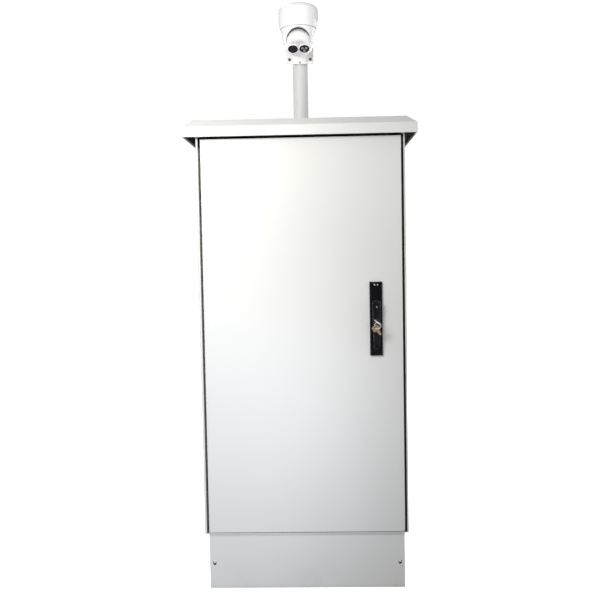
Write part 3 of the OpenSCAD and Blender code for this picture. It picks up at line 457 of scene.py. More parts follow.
# Pieces


def show(name, form, finish, sharp=38.0):
    """A shown object from a bmesh: soft shading up to that angle, flat faces kept flat."""
    mesh = bpy.data.meshes.new(name)
    form.to_mesh(mesh)
    form.free()
    mesh.shade_smooth()
    mesh.set_sharp_from_angle(angle=math.radians(sharp))
    mesh.materials.clear()
    mesh.materials.append(finish)
    piece = bpy.data.objects.new(name, mesh)
    bpy.context.scene.collection.objects.link(piece)
    weighted = piece.modifiers.new("flat_faces", "WEIGHTED_NORMAL")
    weighted.keep_sharp = True
    return piece


def settle(piece, body, slot=None, *nodes):
    """The piece rides on its body and stands for the nodes it replaces. The slot is not used."""
    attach(piece, body)
    if nodes:
        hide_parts(*nodes)
    return piece


def fit(name, form, finish, body, slot=None, *nodes):
    """Closes a form, turns its faces outwards, shows it and settles it."""
    bmesh.ops.remove_doubles(form, verts=form.verts, dist=0.001 * MM)
    bmesh.ops.recalc_face_normals(form, faces=form.faces)
    return settle(show(name, form, finish), body, slot, *nodes)


def rounded(node, width, segments=2, crease=34.0):
    """A merged copy of a solid with its sharp edges rounded; the strips carry edge = 1."""
    form = bmesh.new()
    form.from_mesh(NODES[node].data)
    bmesh.ops.remove_doubles(form, verts=form.verts, dist=0.002 * MM)
    bmesh.ops.dissolve_limit(
        form, angle_limit=math.radians(0.8), verts=form.verts, edges=form.edges, delimit=set()
    )
    layer = form.faces.layers.float.new("edge")
    if width:
        turn = math.radians(crease)
        sharp = [e for e in form.edges if len(e.link_faces) == 2 and e.calc_face_angle(0.0) > turn]
        made = bmesh.ops.bevel(
            form, geom=sharp, offset=width * MM, offset_type="OFFSET", segments=segments,
            profile=0.5, affect="EDGES", clamp_overlap=False,
        )
        for face in made["faces"]:
            face[layer] = 1.0
    piece = show(node + "_rounded", form, finish_of(node))
    return settle(piece, NODES[node]["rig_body"], SLOT_OF[node], node)


def lathe(form, profile, centre, axis, steps, close_top=True):
    """Adds a turned solid: profile is (radius, height) pairs along the axis from centre."""
    side = axis.cross(ACROSS).normalized()
    rings = []
    for radius, height in profile:
        base = centre + axis * (height * MM)
        if radius == 0:
            rings.append([form.verts.new(base)])
            continue
        ring = []
        for i in range(steps):
            turn = 2 * math.pi * i / steps
            way = ACROSS * math.cos(turn) + side * math.sin(turn)
            ring.append(form.verts.new(base + way * (radius * MM)))
        rings.append(ring)
    for low, high in zip(rings, rings[1:]):
        for i in range(steps):
            j = (i + 1) % steps
            lower = [low[i % len(low)], low[j % len(low)]]
            upper = [high[j % len(high)], high[i % len(high)]]
            unique = list(dict.fromkeys(lower + upper))
            if len(unique) > 2:
                form.faces.new(unique)
    if close_top and len(rings[-1]) > 1:
        form.faces.new(rings[-1])


def skin(form, rings):
    """Adds a solid through rings of as many points each, with both ends filled."""
    for one, two in zip(rings, rings[1:]):
        for i in range(len(one)):
            j = (i + 1) % len(one)
            form.faces.new((one[i], one[j], two[j], two[i]))
    form.faces.new(rings[0])
    form.faces.new(rings[-1])


def prism(form, outline, start, end, place):
    """Adds a solid with that outline from start to end."""
    skin(form, [[form.verts.new(place(u, v, w) * MM) for u, v in outline] for w in (start, end)])


# Screws


def screw_tree():
    """Tapered screw heads with one or two slots, turned at random."""
    t = Repeat(
        "screw_heads",
        {"Head radius": float, "Head height": float, "Slot length": float, "Cross length": float,
         "Slot width": float, "Slot depth": float, "Seed": int},
    )
    radius, tall = t.given("Head radius"), t.given("Head height")
    head = t.add(
        "GeometryNodeMeshCone", None,
        {"Vertices": 18, "Radius Top": radius * 0.80, "Radius Bottom": radius, "Depth": tall},
        "Mesh",
    )
    width, depth = t.given("Slot width"), t.given("Slot depth") * 2.0
    along = t.vector(t.given("Slot length"), width, depth)
    across = t.vector(width, t.given("Cross length"), depth)
    slots = []
    for size in (along, across):
        cutter = t.add("GeometryNodeMeshCube", None, {"Size": size}, "Mesh")
        slots.append(t.moved(cutter, t.vector(0.0, 0.0, tall)))
    cut = t.add(
        "GeometryNodeMeshBoolean", {"operation": "DIFFERENCE", "solver": "EXACT"},
        {"Mesh 1": head, "Mesh 2": slots}, "Mesh",
    )
    facing = t.add(
        "GeometryNodeInputNamedAttribute", {"data_type": "FLOAT_VECTOR"}, {"Name": "facing"},
        "Attribute",
    )
    stand = t.add("FunctionNodeAlignRotationToVector", {"axis": "Z"}, {"Vector": facing})
    turn = t.add(
        "FunctionNodeRandomValue", {"data_type": "FLOAT"},
        {"Min": 0.0, "Max": math.pi, "Seed": t.given("Seed")}, "Value",
    )
    spin = t.add("FunctionNodeEulerToRotation", None, {"Euler": t.vector(0.0, 0.0, turn)})
    way = t.add(
        "FunctionNodeRotateRotation", {"rotation_space": "LOCAL"},
        {"Rotation": stand, "Rotate By": spin},
    )
    inputs = {"Points": t.given("Geometry"), "Instance": cut, "Rotation": way}
    t.close(t.add("GeometryNodeInstanceOnPoints", None, inputs))
    return t


SCREWS = screw_tree()
SLOT_LENGTH, SLOT_STUB, SLOT_WIDTH = 1.25, 0.2, 0.26  # shares of the head's radius
SLOT_DEPTH = 0.6  # share of the head's height
CLAMP_Y = 0.1655  # steps of the small devices
MAIN_CLAMP_Y = 0.160  # steps of the main breaker
HINGE_SCREW_X = -0.2845


def screws(name, seats, finish, radius, tall, seed, cross=True, slot="zinc_steel", nodes=()):
    """Screw heads on the cabinet; cross gives each a second slot."""
    piece = SCREWS.make(
        name, seats, finish,
        {"Head radius": radius * MM, "Head height": tall * MM,
         "Slot length": radius * SLOT_LENGTH * MM,
         "Cross length": radius * (SLOT_LENGTH if cross else SLOT_STUB) * MM,
         "Slot width": radius * SLOT_WIDTH * MM, "Slot depth": tall * SLOT_DEPTH * MM,
         "Seed": seed},
    )
    return settle(piece, "cabinet", slot, *nodes)


def seats_at(xs, y, zs):
    """Seats that face forward, at every x and z."""
    return [(Vector((x, y, z)), FORWARD) for x in xs for z in zs]


def row(start, pitch, count):
    return [start + i * pitch * MM for i in range(count)]


def both(middle, reach):
    """The places that far to either side of the middle."""
    return [middle - reach * MM, middle + reach * MM]


def centre_of(node):
    low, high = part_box(node)
    return (low + high) / 2


def slot_hole(form, place, radius, drop):
    """Adds the dark mouth of an upright slotted hole, from the screw's place down by drop: a flat
    dark disc just proud of the panel that paints the shade in the hole below the head.
    """
    steps = 24
    rims = []
    for lift in (0.02, 0.10):
        rim = []
        for i in range(steps):
            turn = 2 * math.pi * i / steps
            fall = drop if math.sin(turn) < 0 else 0.0
            spot = Vector((radius * math.cos(turn), -lift, radius * math.sin(turn) - fall))
            rim.append(form.verts.new(place + spot * MM))
        rims.append(rim)
    skin(form, rims)


def plinth_screws():
    """Bright heads that sit high in the slotted holes of the plinth's front panel: their pale zinc
    also paints the highlight on top, and the holes' dark mouths paint the shade below.
    """
    low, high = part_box("plinth_screws")
    radius = (high.z - low.z) / 2 / MM
    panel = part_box("plinth_front_panel")[0].y
    reach = (high.x - low.x) / 2 - radius * MM
    seats, holes = [], bmesh.new()
    for side in (-1, 1):
        spot = Vector((side * reach, panel, (low.z + high.z) / 2))
        seats.append((spot + Vector((-0.5 * side, 0.0, 2.3)) * MM, FORWARD))
        slot_hole(holes, spot + Vector((0.0, 0.0, 0.6)) * MM, radius * 0.86, 2.8)
    screws(
        "plinth_screw_heads", seats, SCREW_HIGHLIGHT_ZINC, radius * 0.58, (panel - low.y) / MM, 3,
        nodes=("plinth_screws",),
    )
    fit("plinth_screw_slot_shade", holes, HOLLOW_SHADE_AND_BLACK, "cabinet")


def bracket_screws():
    low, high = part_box("bracket_screws")
    radius, tall = 4.6, 2.4
    edge = radius * MM
    seats = seats_at(
        (low.x + edge, high.x - edge), low.y + tall * MM, (low.z + edge, high.z - edge)
    )
    screws(
        "bracket_screw_heads", seats, FINISHES["brown_screw"], radius, tall, 5,
        slot="brown_screw", nodes=("bracket_screws",),
    )


def device_screws():
    """Clamp screws of the devices, bars and terminals on the mounting plate."""
    low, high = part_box("terminal_blocks")
    rail = both((low.z + high.z) / 2, 19.0)
    seats = seats_at(row(low.x + 2.6 * MM, 6.2, 20), low.y + 8.0 * MM, rail)
    screws("terminal_screws", seats, SCREW_ZINC, 2.1, 0.8, 7, cross=False)

    seats = []
    for node in ("branch_breaker_1", "branch_breaker_2", "branch_breaker_3"):
        centre = centre_of(node)
        seats += seats_at([centre.x], CLAMP_Y, both(centre.z, 33.0))
    centre = centre_of("surge_protector")
    seats += seats_at(row(centre.x - 17.0 * MM, 17.0, 3), CLAMP_Y, both(centre.z, 34.0))
    screws("breaker_clamp_screws", seats, SCREW_ZINC, 3.1, 1.6, 11)

    centre = centre_of("main_breaker")
    seats = seats_at(row(centre.x - 25.0 * MM, 25.0, 3), MAIN_CLAMP_Y, both(centre.z, 57.0))
    screws("main_breaker_screws", seats, SCREW_ZINC, 6.0, 3.0, 13)

    seats = []
    for node in ("earth_bar", "neutral_bar"):
        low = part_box(node)[0]
        seats += seats_at(row(low.x + 40.0 * MM, 160.0 / 7, 8), low.y, [centre_of(node).z])
    screws("bar_screws", seats, SCREW_ZINC, 4.2, 1.4, 17, cross=False)

    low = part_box("power_supply")[0]
    seats = seats_at(row(low.x + 16.0 * MM, 15.6, 6), low.y + 22.5 * MM, [low.z + 12.0 * MM])
    screws("supply_screws", seats, SCREW_ZINC, 3.4, 2.2, 19)


def hinge_screws():
    low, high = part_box("hinge_frame_leaves")
    leaves = (low.z + 30.0 * MM, (low.z + high.z) / 2, high.z - 30.0 * MM)
    heights = [z for leaf in leaves for z in both(leaf, 20.0)]
    seats = seats_at([HINGE_SCREW_X], high.y - 2.0 * MM, heights)
    screws("hinge_screws", seats, SCREW_ZINC, 3.0, 1.6, 23)


# Other repeats


def vent_cover():
    """A pierced cover on the front of the power supply, with its holes on a square grid, and a
    near-black sheet behind it that paints the shade inside the supply.
    """
    t = Repeat(
        "pierced_cover",
        {"Width": float, "Height": float, "Thickness": float, "Hole radius": float,
         "Columns": int, "Rows": int, "Spread X": float, "Spread Y": float},
    )
    outline = t.add(
        "GeometryNodeCurvePrimitiveQuadrilateral", {"mode": "RECTANGLE"},
        {"Width": t.given("Width"), "Height": t.given("Height")},
    )
    hole = t.add(
        "GeometryNodeCurvePrimitiveCircle", {"mode": "RADIUS"},
        {"Resolution": 10, "Radius": t.given("Hole radius")}, "Curve",
    )
    grid = t.add(
        "GeometryNodeMeshGrid", None,
        {"Size X": t.given("Spread X"), "Size Y": t.given("Spread Y"),
         "Vertices X": t.given("Columns"), "Vertices Y": t.given("Rows")}, "Mesh",
    )
    holes = t.add("GeometryNodeInstanceOnPoints", None, {"Points": grid, "Instance": hole})
    loops = t.add("GeometryNodeRealizeInstances", None, {"Geometry": holes})
    flat = t.add("GeometryNodeJoinGeometry", None, {"Geometry": [outline, loops]})
    filled = t.add("GeometryNodeFillCurve", None, {"Curve": flat})
    t.close(t.add(
        "GeometryNodeExtrudeMesh", {"mode": "FACES"},
        {"Mesh": filled, "Offset Scale": t.given("Thickness"), "Individual": False}, "Mesh",
    ))
    low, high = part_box("power_supply")
    wide, tall, margin, rim = 98.0, 158.0, 14.0, 2.0
    piece = t.make(
        "supply_cover", [(Vector(), UP)], FINISHES["supply_metal"],
        {"Width": wide * MM, "Height": tall * MM, "Thickness": 1.0 * MM, "Hole radius": 2.3 * MM,
         "Columns": 12, "Rows": 20,
         "Spread X": (wide - margin) * MM, "Spread Y": (tall - margin) * MM},
    )
    upright = Matrix.Rotation(math.radians(90), 4, "X")
    centre = Vector(((low.x + high.x) / 2, low.y - 0.4 * MM, high.z - (tall / 2 + 6.0) * MM))
    piece.data.transform(Matrix.Translation(centre) @ upright)
    settle(piece, "cabinet", "supply_metal")
    # A near-black sheet behind the cover paints the shade inside the supply.
    form = bmesh.new()
    bmesh.ops.create_grid(form, x_segments=2, y_segments=2, size=0.5)
    size = Matrix.Diagonal(((wide - rim) * MM, (tall - rim) * MM, 1.0, 1.0))
    behind = Matrix.Translation(centre + Vector((0.0, 0.2 * MM, 0.0)))
    form.transform(behind @ upright @ size)
    settle(show("supply_inner_shade", form, HOLLOW_SHADE_AND_BLACK), "cabinet")


def weld_bead():
    """A painted weld around the foot of the mast: small overlapping beads on a circle."""
    sizes = {"Ring radius": float, "Bead radius": float, "Beads": int, "Seed": int}
    t = Repeat("weld_bead", sizes)
    ring = t.add(
        "GeometryNodeCurvePrimitiveCircle", {"mode": "RADIUS"},
        {"Resolution": t.given("Beads"), "Radius": t.given("Ring radius")}, "Curve",
    )
    bead = t.add(
        "GeometryNodeMeshIcoSphere", None,
        {"Radius": t.given("Bead radius"), "Subdivisions": 2}, "Mesh",
    )
    swell = t.add(
        "FunctionNodeRandomValue", {"data_type": "FLOAT"},
        {"Min": 0.86, "Max": 1.12, "Seed": t.given("Seed")}, "Value",
    )
    points = t.add("GeometryNodeCurveToPoints", {"mode": "EVALUATED"}, {"Curve": ring}, "Points")
    inputs = {"Points": points, "Instance": bead, "Scale": t.vector(swell, swell, swell)}
    t.close(t.add("GeometryNodeInstanceOnPoints", None, inputs))
    piece = t.make(
        "mast_weld", [(Vector(), UP)], FINISHES["body_paint"],
        {"Ring radius": 25.4 * MM, "Bead radius": 2.6 * MM, "Beads": 62, "Seed": 29},
    )
    foot_flange = 8.0
    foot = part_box("mast")[0].z + (foot_flange + 1.0) * MM
    piece.data.transform(Matrix.Translation(Vector((0.0, 0.0, foot))))
    piece.data.shade_smooth()
    settle(piece, "cabinet", "body_paint")


# Camera eye


TILT = next(joint for joint in frame["joints"] if joint["name"] == "camera_tilt")
EYE = Vector(TILT["pos_m"])
LOOK = math.radians(55.0)
LOOK_AXIS = Vector((0.0, -math.cos(LOOK), -math.sin(LOOK)))
LOOK_RISE = LOOK_AXIS.cross(ACROSS)
WINDOW_X = 16.67
LAMP_TURNS = (150.0, 30.0, 270.0)
LAMP_REACH = 6.3

# Turned profiles: radius, and height along the line of sight from the ball's centre
FACE_PROFILE = [
    (0, 22.1), (28.6, 22.1), (28.6, 24.6), (28.2, 25.0), (26.6, 25.0), (26.3, 24.7), (25.8, 24.7),
    (25.5, 25.0), (0, 25.0),
]
RIM_PROFILE = [
    (14.5, 24.9), (16.85, 24.9), (16.85, 27.4), (16.5, 28.1), (15.8, 28.5), (15.2, 28.4),
    (14.8, 28.0), (14.5, 27.2), (14.5, 24.9),
]
LENS_PROFILE = [
    (0, 25.5), (14.4, 25.5), (14.4, 27.4), (13.8, 27.6), (11.5, 27.5), (10.8, 26.9), (9.7, 26.6),
    (9.2, 26.2), (7.2, 26.1), (7.0, 26.5), (5.8, 27.1), (4.0, 27.5), (2.0, 27.7), (0, 27.8),
]
LAMP_PLATE_PROFILE = [(0, 25.5), (14.4, 25.5), (14.4, 27.0), (13.8, 27.3), (0, 27.3)]
BOWL_PROFILE = [
    (4.0, 27.2), (4.0, 28.1), (3.6, 28.2), (2.9, 27.9), (2.0, 27.6), (1.1, 27.5), (0, 27.5),
]
LAMP_PROFILE = [(1.0, 27.4), (1.0, 27.9), (0.65, 28.1), (0, 28.2)]


def on_face(x):
    """A point on the line through the ball's centre, from window to window."""
    return EYE + ACROSS * (x * MM)


def camera_front():
    """The lavender face plate with a shallow groove, and the two white window rims."""
    plate, rims = bmesh.new(), bmesh.new()
    lathe(plate, FACE_PROFILE, EYE, LOOK_AXIS, 72)
    fit(
        "face_plate", plate, FINISHES["camera_face_grey"], "camera_eye", "camera_face_grey",
        "camera_face",
    )
    for x in (-WINDOW_X, WINDOW_X):
        lathe(rims, RIM_PROFILE, on_face(x), LOOK_AXIS, 56, close_top=False)
    fit(
        "window_rims", rims, FINISHES["camera_white"], "camera_eye", "camera_white",
        "camera_face",
    )


def camera_lens():
    """The left window: a stepped black barrel with a coated lens."""
    form = bmesh.new()
    lathe(form, LENS_PROFILE, on_face(-WINDOW_X), LOOK_AXIS, 48)
    fit(
        "lens_barrel", form, FINISHES["camera_glass"], "camera_eye", "camera_glass",
        "camera_windows",
    )


def camera_lamps():
    """The right window: a dark plate with three silver reflector bowls and their lamps."""
    centre = on_face(WINDOW_X)
    plate, bowls, lamps = bmesh.new(), bmesh.new(), bmesh.new()
    lathe(plate, LAMP_PLATE_PROFILE, centre, LOOK_AXIS, 48)
    fit(
        "lamp_plate", plate, FINISHES["camera_glass"], "camera_eye", "camera_glass",
        "camera_windows",
    )
    for degrees in LAMP_TURNS:
        turn = math.radians(degrees)
        way = ACROSS * math.cos(turn) + LOOK_RISE * math.sin(turn)
        seat = centre + way * (LAMP_REACH * MM)
        lathe(bowls, BOWL_PROFILE, seat, LOOK_AXIS, 20)
        lathe(lamps, LAMP_PROFILE, seat, LOOK_AXIS, 14)
    fit("lamp_bowls", bowls, REFLECTOR, "camera_eye", "nickel")
    fit("lamps", lamps, LED_AMBER, "camera_eye")


SEAM_Z = 1.6496
SEAM_R = 52.6
SEAM_BEAD = 0.75
ARCH_DROP = 2.5
SEAL_OUTER, SEAL_INNER = 35.95, 35.3
SEAL_ENDS = (24.0, 156.0)
SEAL_WIDTH = 12.5
BALL_CLEAR = 42.5
PLUG_PROFILE = [(3.0, -0.6), (3.0, 0.3), (2.6, 0.6), (1.6, 0.6), (1.5, 0.1), (0, 0.1)]
PLUG_AHEAD = 5.1
PLUG_Z = 1.5845


def eye_seal_and_gap_shade():
    """The dark lip seal in the arch of the shell, widest over the top of the ball, where it also
    paints the shade in the gap between shell and ball.
    """
    form = bmesh.new()
    arch = EYE - UP * (ARCH_DROP * MM)
    steps = 48
    rows = []
    for i in range(steps + 1):
        share = i / steps
        turn = math.radians(SEAL_ENDS[0] + (SEAL_ENDS[1] - SEAL_ENDS[0]) * share)
        off_x = SEAL_INNER * math.cos(turn)
        off_z = SEAL_INNER * math.sin(turn) - ARCH_DROP
        back = -math.sqrt(BALL_CLEAR ** 2 - off_x ** 2 - off_z ** 2)
        front = back - SEAL_WIDTH * max(math.sin(math.pi * share), 0.02) ** 0.7
        section = (
            (SEAL_OUTER, back), (SEAL_OUTER, front), (SEAL_INNER, front + 0.3), (SEAL_INNER, back),
        )
        rows.append([
            form.verts.new(arch + Vector((r * math.cos(turn), depth, r * math.sin(turn))) * MM)
            for r, depth in section
        ])
    skin(form, rows)
    fit("eye_seal_and_gap_shade", form, FINISHES["gasket_rubber"], "camera_turret", "gasket_rubber")


def turret_seal():
    """The soft grey ring in the joint between the camera's cup and its turret."""
    form = bmesh.new()
    joint = Vector((EYE.x, EYE.y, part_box("camera_base")[1].z))
    lip = (SEAM_Z - joint.z) / MM
    turns = [math.radians(30.0 * k) for k in range(13)]
    ring = [(SEAM_R + SEAM_BEAD * math.cos(a), lip + SEAM_BEAD * math.sin(a)) for a in turns]
    lathe(form, ring, joint, UP, 72, close_top=False)
    fit("turret_seal", form, SEAM_GREY, "camera_turret", "gasket_rubber")


def arm_plug():
    """The dark drain plug at the foot of the camera arm."""
    form = bmesh.new()
    place = Vector((0.0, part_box("camera_bracket")[1].y - PLUG_AHEAD * MM, PLUG_Z))
    lathe(form, PLUG_PROFILE, place, FORWARD, 24)
    fit("arm_plug", form, HOLLOW_SHADE_AND_BLACK, "cabinet", "black_plastic")


# Lock


LOCK_X = 211.5
LOCK_Z = 840.0
PIN_PROFILE = [(1.7, -0.3), (1.7, 0.3), (1.2, 0.75), (0, 0.95)]
PIN_XS = (207.7, 216.5)
PIN_Z = 895.0
RIVET_PROFILE = [(2.3, -0.4), (2.3, 0.15), (1.8, 0.5), (0, 0.6)]
RIVET_X = LOCK_X + 1.0
RIVET_Z = 831.5


def nest_rim():
    """A thin raised bead round the head of the hollow that the handle lies in."""
    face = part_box("lock_dish")[0].y
    reach, bead, sunk, sides, steps = 13.6, 0.55, 0.27, 8, 36
    middle = Vector((LOCK_X * MM, face + sunk * MM, LOCK_Z * MM))
    form = bmesh.new()
    rings = []
    for i in range(steps + 1):
        turn = math.radians(8.0 + 164.0 * i / steps)
        out = Vector((math.cos(turn), 0.0, math.sin(turn)))
        ring = []
        for k in range(sides):
            roll = 2 * math.pi * k / sides
            round_bead = out * math.cos(roll) + FORWARD * math.sin(roll)
            ring.append(form.verts.new(middle + out * (reach * MM) + round_bead * (bead * MM)))
        rings.append(ring)
    skin(form, rings)
    fit("nest_rim", form, HANDLE_SATIN, "door", "lock_black")


def lock_pins():
    """Two bright pins at the head of the dish and the rivet of the handle."""
    pins, rivet = bmesh.new(), bmesh.new()
    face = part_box("lock_dish")[0].y
    for x in PIN_XS:
        lathe(pins, PIN_PROFILE, Vector((x * MM, face, PIN_Z * MM)), FORWARD, 20)
    fit("dish_pins", pins, PIN_BRIGHT, "door", "nickel")
    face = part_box("swing_handle")[0].y
    lathe(rivet, RIVET_PROFILE, Vector((RIVET_X * MM, face, RIVET_Z * MM)), FORWARD, 20)
    fit("handle_rivet", rivet, RIVET_GREY, "handle", "zinc_steel")


# Door opening


OPEN_X = 291.0
OPEN_FOOT = 170.0
OPEN_TOP = 1324.0
FRONT_Y = -250.0
LEDGE_Y = -226.0
DOOR_X = 285.0
SKIN = 0.75
THIN_SKIN = 0.3
LIP_PROUD = 0.6
LOCK_LIP = 4.0
HINGE_LIP = 2.5
# How far down the hinge-side gap the black end reaches: a painted shadow of the canopy.
HINGE_SIDE_SHADOW_END = 30.0
TRIM_DEPTH = 4.0
HEAD_DROP = 6.0
LOCK_HEM = 4.0
HINGE_HEM = 2.0
FOOT_HEM = 2.8
HEM_END = 0.3
TOOTH_SIZE = (4.4, 0.9, 4.6)
TOOTH_PITCH = 4.7
TOOTH_COUNT = 123


def jamb_outline(thick, lip, depth):
    """The section of the channel at a jamb: a lip over the strip's edge, the wall, the ledge."""
    wall, front = OPEN_X - thick, FRONT_Y - LIP_PROUD
    hook = [(OPEN_X, FRONT_Y), (OPEN_X + lip, FRONT_Y), (OPEN_X + lip, front), (wall, front)]
    if depth < LEDGE_Y:
        return hook + [(wall, depth), (OPEN_X, depth)]
    ledge = depth - thick
    return hook + [(wall, ledge), (DOOR_X, ledge), (DOOR_X, depth), (OPEN_X, depth)]


def on_lock_side(x, y, z):
    return Vector((x, y, z))


def on_hinge_side(x, y, z):
    return Vector((-x, y, z))


def across_opening(y, z, x):
    return Vector((x, y, z))


def opening_channel():
    """The black rubber channel of the frame: top and lock side, with a short end on the hinge side.
    Its near-black also paints the shade in the door's gaps, and the short end paints the canopy's
    shadow at the top of the hinge-side gap.
    Below that end the hinge side has a thin grey edge trim, which the swinging door clears."""
    turn = OPEN_TOP - HINGE_SIDE_SHADOW_END
    form, trim = bmesh.new(), bmesh.new()
    jamb = jamb_outline(SKIN, LOCK_LIP, LEDGE_Y)
    prism(form, jamb, OPEN_FOOT, OPEN_TOP, on_lock_side)
    jamb = jamb_outline(THIN_SKIN, HINGE_LIP, LEDGE_Y)
    prism(form, jamb, turn, OPEN_TOP, on_hinge_side)
    jamb = jamb_outline(THIN_SKIN, HINGE_LIP, FRONT_Y + TRIM_DEPTH)
    prism(trim, jamb, OPEN_FOOT, turn, on_hinge_side)
    ceiling, face, foot = OPEN_TOP - SKIN, LEDGE_Y - SKIN, OPEN_TOP - HEAD_DROP
    head = [
        (FRONT_Y, ceiling), (face, ceiling), (face, foot), (LEDGE_Y, foot), (LEDGE_Y, OPEN_TOP),
        (FRONT_Y, OPEN_TOP),
    ]
    prism(form, head, -OPEN_X, OPEN_X, across_opening)
    fit("opening_channel", form, FINISHES["black_foam"], "cabinet", "gasket_rubber")
    fit("opening_trim", trim, TRIM_GREY, "cabinet", "gasket_rubber")


def hem_outline(reach):
    """The section of a rolled hem: how far out from the door's edge, and the place in depth."""
    face, inner = FRONT_Y - 0.15, FRONT_Y + 3.0
    return [
        (-2.0, face), (reach - 1.2, face), (reach - 0.6, face + 0.15), (reach - 0.15, face + 0.6),
        (reach, face + 1.2), (reach, inner), (-1.0, inner), (-1.0, face + 0.3), (-2.0, face + 0.3),
    ]


def door_hems():
    """The rolled hems of the door's foot and its two upright edges."""
    low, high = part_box("door_panel")
    foot, top = low.z / MM, high.z / MM
    form = bmesh.new()
    for side, reach in ((-1, HINGE_HEM), (1, LOCK_HEM)):
        prism(
            form, hem_outline(reach), foot, top,
            lambda out, y, z: Vector((side * (DOOR_X + out), y, z)),
        )
    prism(
        form, hem_outline(FOOT_HEM), HEM_END - DOOR_X - HINGE_HEM, DOOR_X + LOCK_HEM - HEM_END,
        lambda out, y, x: Vector((x, y, foot - out)),
    )
    fit("door_hems", form, FINISHES["body_paint"], "door", "body_paint")


def eaves_teeth():
    """The toothed upper edge of the channel, on the rail under the lip of the canopy; their
    near-black also paints the shade under the lip.
    """
    t = Repeat("tooth_row", {"Tooth width": float, "Tooth depth": float, "Tooth height": float})
    root = t.add(
        "GeometryNodeMeshCone", None,
        {"Vertices": 4, "Radius Top": 0.45, "Radius Bottom": math.sqrt(0.5), "Depth": 1.0}, "Mesh",
    )
    square = t.add(
        "GeometryNodeTransform", None, {"Geometry": root, "Rotation": (0.0, 0.0, math.pi / 4)}
    )
    size = t.vector(t.given("Tooth width"), t.given("Tooth depth"), t.given("Tooth height"))
    inputs = {"Points": t.given("Geometry"), "Instance": t.moved(square, scale=size)}
    t.close(t.add("GeometryNodeInstanceOnPoints", None, inputs))
    first = -(TOOTH_COUNT - 1) / 2
    seats = [
        (Vector(((first + i) * TOOTH_PITCH, FRONT_Y - 0.25, OPEN_TOP - 0.5)) * MM, UP)
        for i in range(TOOTH_COUNT)
    ]
    width, depth, height = TOOTH_SIZE
    piece = t.make(
        "eaves_teeth", seats, FINISHES["black_foam"],
        {"Tooth width": width * MM, "Tooth depth": depth * MM, "Tooth height": height * MM},
    )
    settle(piece, "cabinet", "gasket_rubber")


def plinth_skirt():
    """The folded foot that closes the slit between the plinth's front panel and the ground."""
    low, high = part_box("plinth_front_panel")
    front, reach = low.y / MM, high.x / MM - 0.4
    top = low.z / MM + 1.5
    face, back, inside = front + 0.3, front + 8.0, front + 1.7
    outline = [
        (face, top), (face, 0.9), (front + 0.6, 0.4), (front + 1.2, 0.2), (back, 0.2), (back, 1.4),
        (inside, 1.4), (inside, top),
    ]
    form = bmesh.new()
    prism(form, outline, -reach, reach, across_opening)
    fit("plinth_skirt", form, FINISHES["body_paint"], "cabinet", "body_paint")


# Looks of the solids


ROUNDED = {
    "door_panel": 0.7, "canopy": 0.8, "plinth_front_panel": 0.7, "plinth_frame": 0.5,
    "left_side_panel": 0.5, "right_side_panel": 0.5, "back_panel": 0.5, "header_rail": 0.5,
    "sill_rail": 0.5, "mast": 0.8, "mast_cap": 0.5, "camera_bracket": 1.0, "camera_base": 0.5,
    "camera_ball": 0.0, "lock_dish": 0.8, "swing_handle": 1.5,
    "lock_barrel": 0.25, "lock_key": 0.3, "spare_key": 0.3, "main_breaker": 0.8,
    "branch_breaker_1": 0.6, "branch_breaker_2": 0.6, "branch_breaker_3": 0.6,
    "surge_protector": 0.6, "power_supply": 0.6, "terminal_blocks": 0.3, "main_lever": 0.7,
    "branch_lever_1": 0.5, "branch_lever_2": 0.5, "branch_lever_3": 0.5, "cable_glands": 0.5,
    "earth_bar": 0.4, "neutral_bar": 0.4, "canopy_bolts": 0.4, "mast_bolts": 0.4,
}


def dress_solids():
    for node, piece in NODES.items():
        piece.data.materials.clear()
        piece.data.materials.append(finish_of(node))
    for node, width in ROUNDED.items():
        rounded(node, width)


# Studio


FLOOR_REACH = 14.0
SKY_FILL = 0.45
FLOOR_FILL = 0.60
BACKDROP = 1.05
WHITE = (1.0, 1.0, 1.0)

# Soft lights: place, aim, width, power, colour
SOFT_LIGHTS = {
    "key_light": ((-0.40, -1.165, 1.408), (-0.10, -0.25, 0.92), 0.4, 13.7, (1.0, 0.985, 0.95)),
    "left_light": ((-2.3, 2.1, 1.2), (0.0, 0.1, 0.8), 1.6, 24.0, WHITE),
    "right_light": ((2.5, 1.3, 1.4), (0.0, 0.1, 0.8), 1.6, 22.0, WHITE),
    "top_light": ((-0.9, 0.5, 3.0), (0.0, 0.05, 1.37), 1.0, 9.0, WHITE),
    "back_light": ((0.6, 3.0, 1.5), (0.0, 0.2, 0.8), 1.8, 62.0, WHITE),
}
# Spots: place, aim, power, colour, cone, softness of the cone's edge, size of the lamp
SPOTS = {
    "low_wash": (
        (0.37, -1.5, 0.60), (-0.47, -0.25, 0.40), 50.0, (0.81, 0.875, 1.0), 1.18, 1.0, 0.2,
    ),
    "head_light": ((0.9, -1.4, 2.2), (0.0, -0.13, 1.645), 24.0, WHITE, 0.20, 0.8, 0.08),
}

# The viewpoint, found by fitting the cabinet's corners to the photograph
VIEW_PLACE = Vector((0.0520, -2.4061, 0.9928))
VIEW_YAW, VIEW_PITCH, VIEW_ROLL = -0.02723, 0.05202, -0.01797
VIEW_LENS = 44.849
VIEW_SHIFT = -0.0153


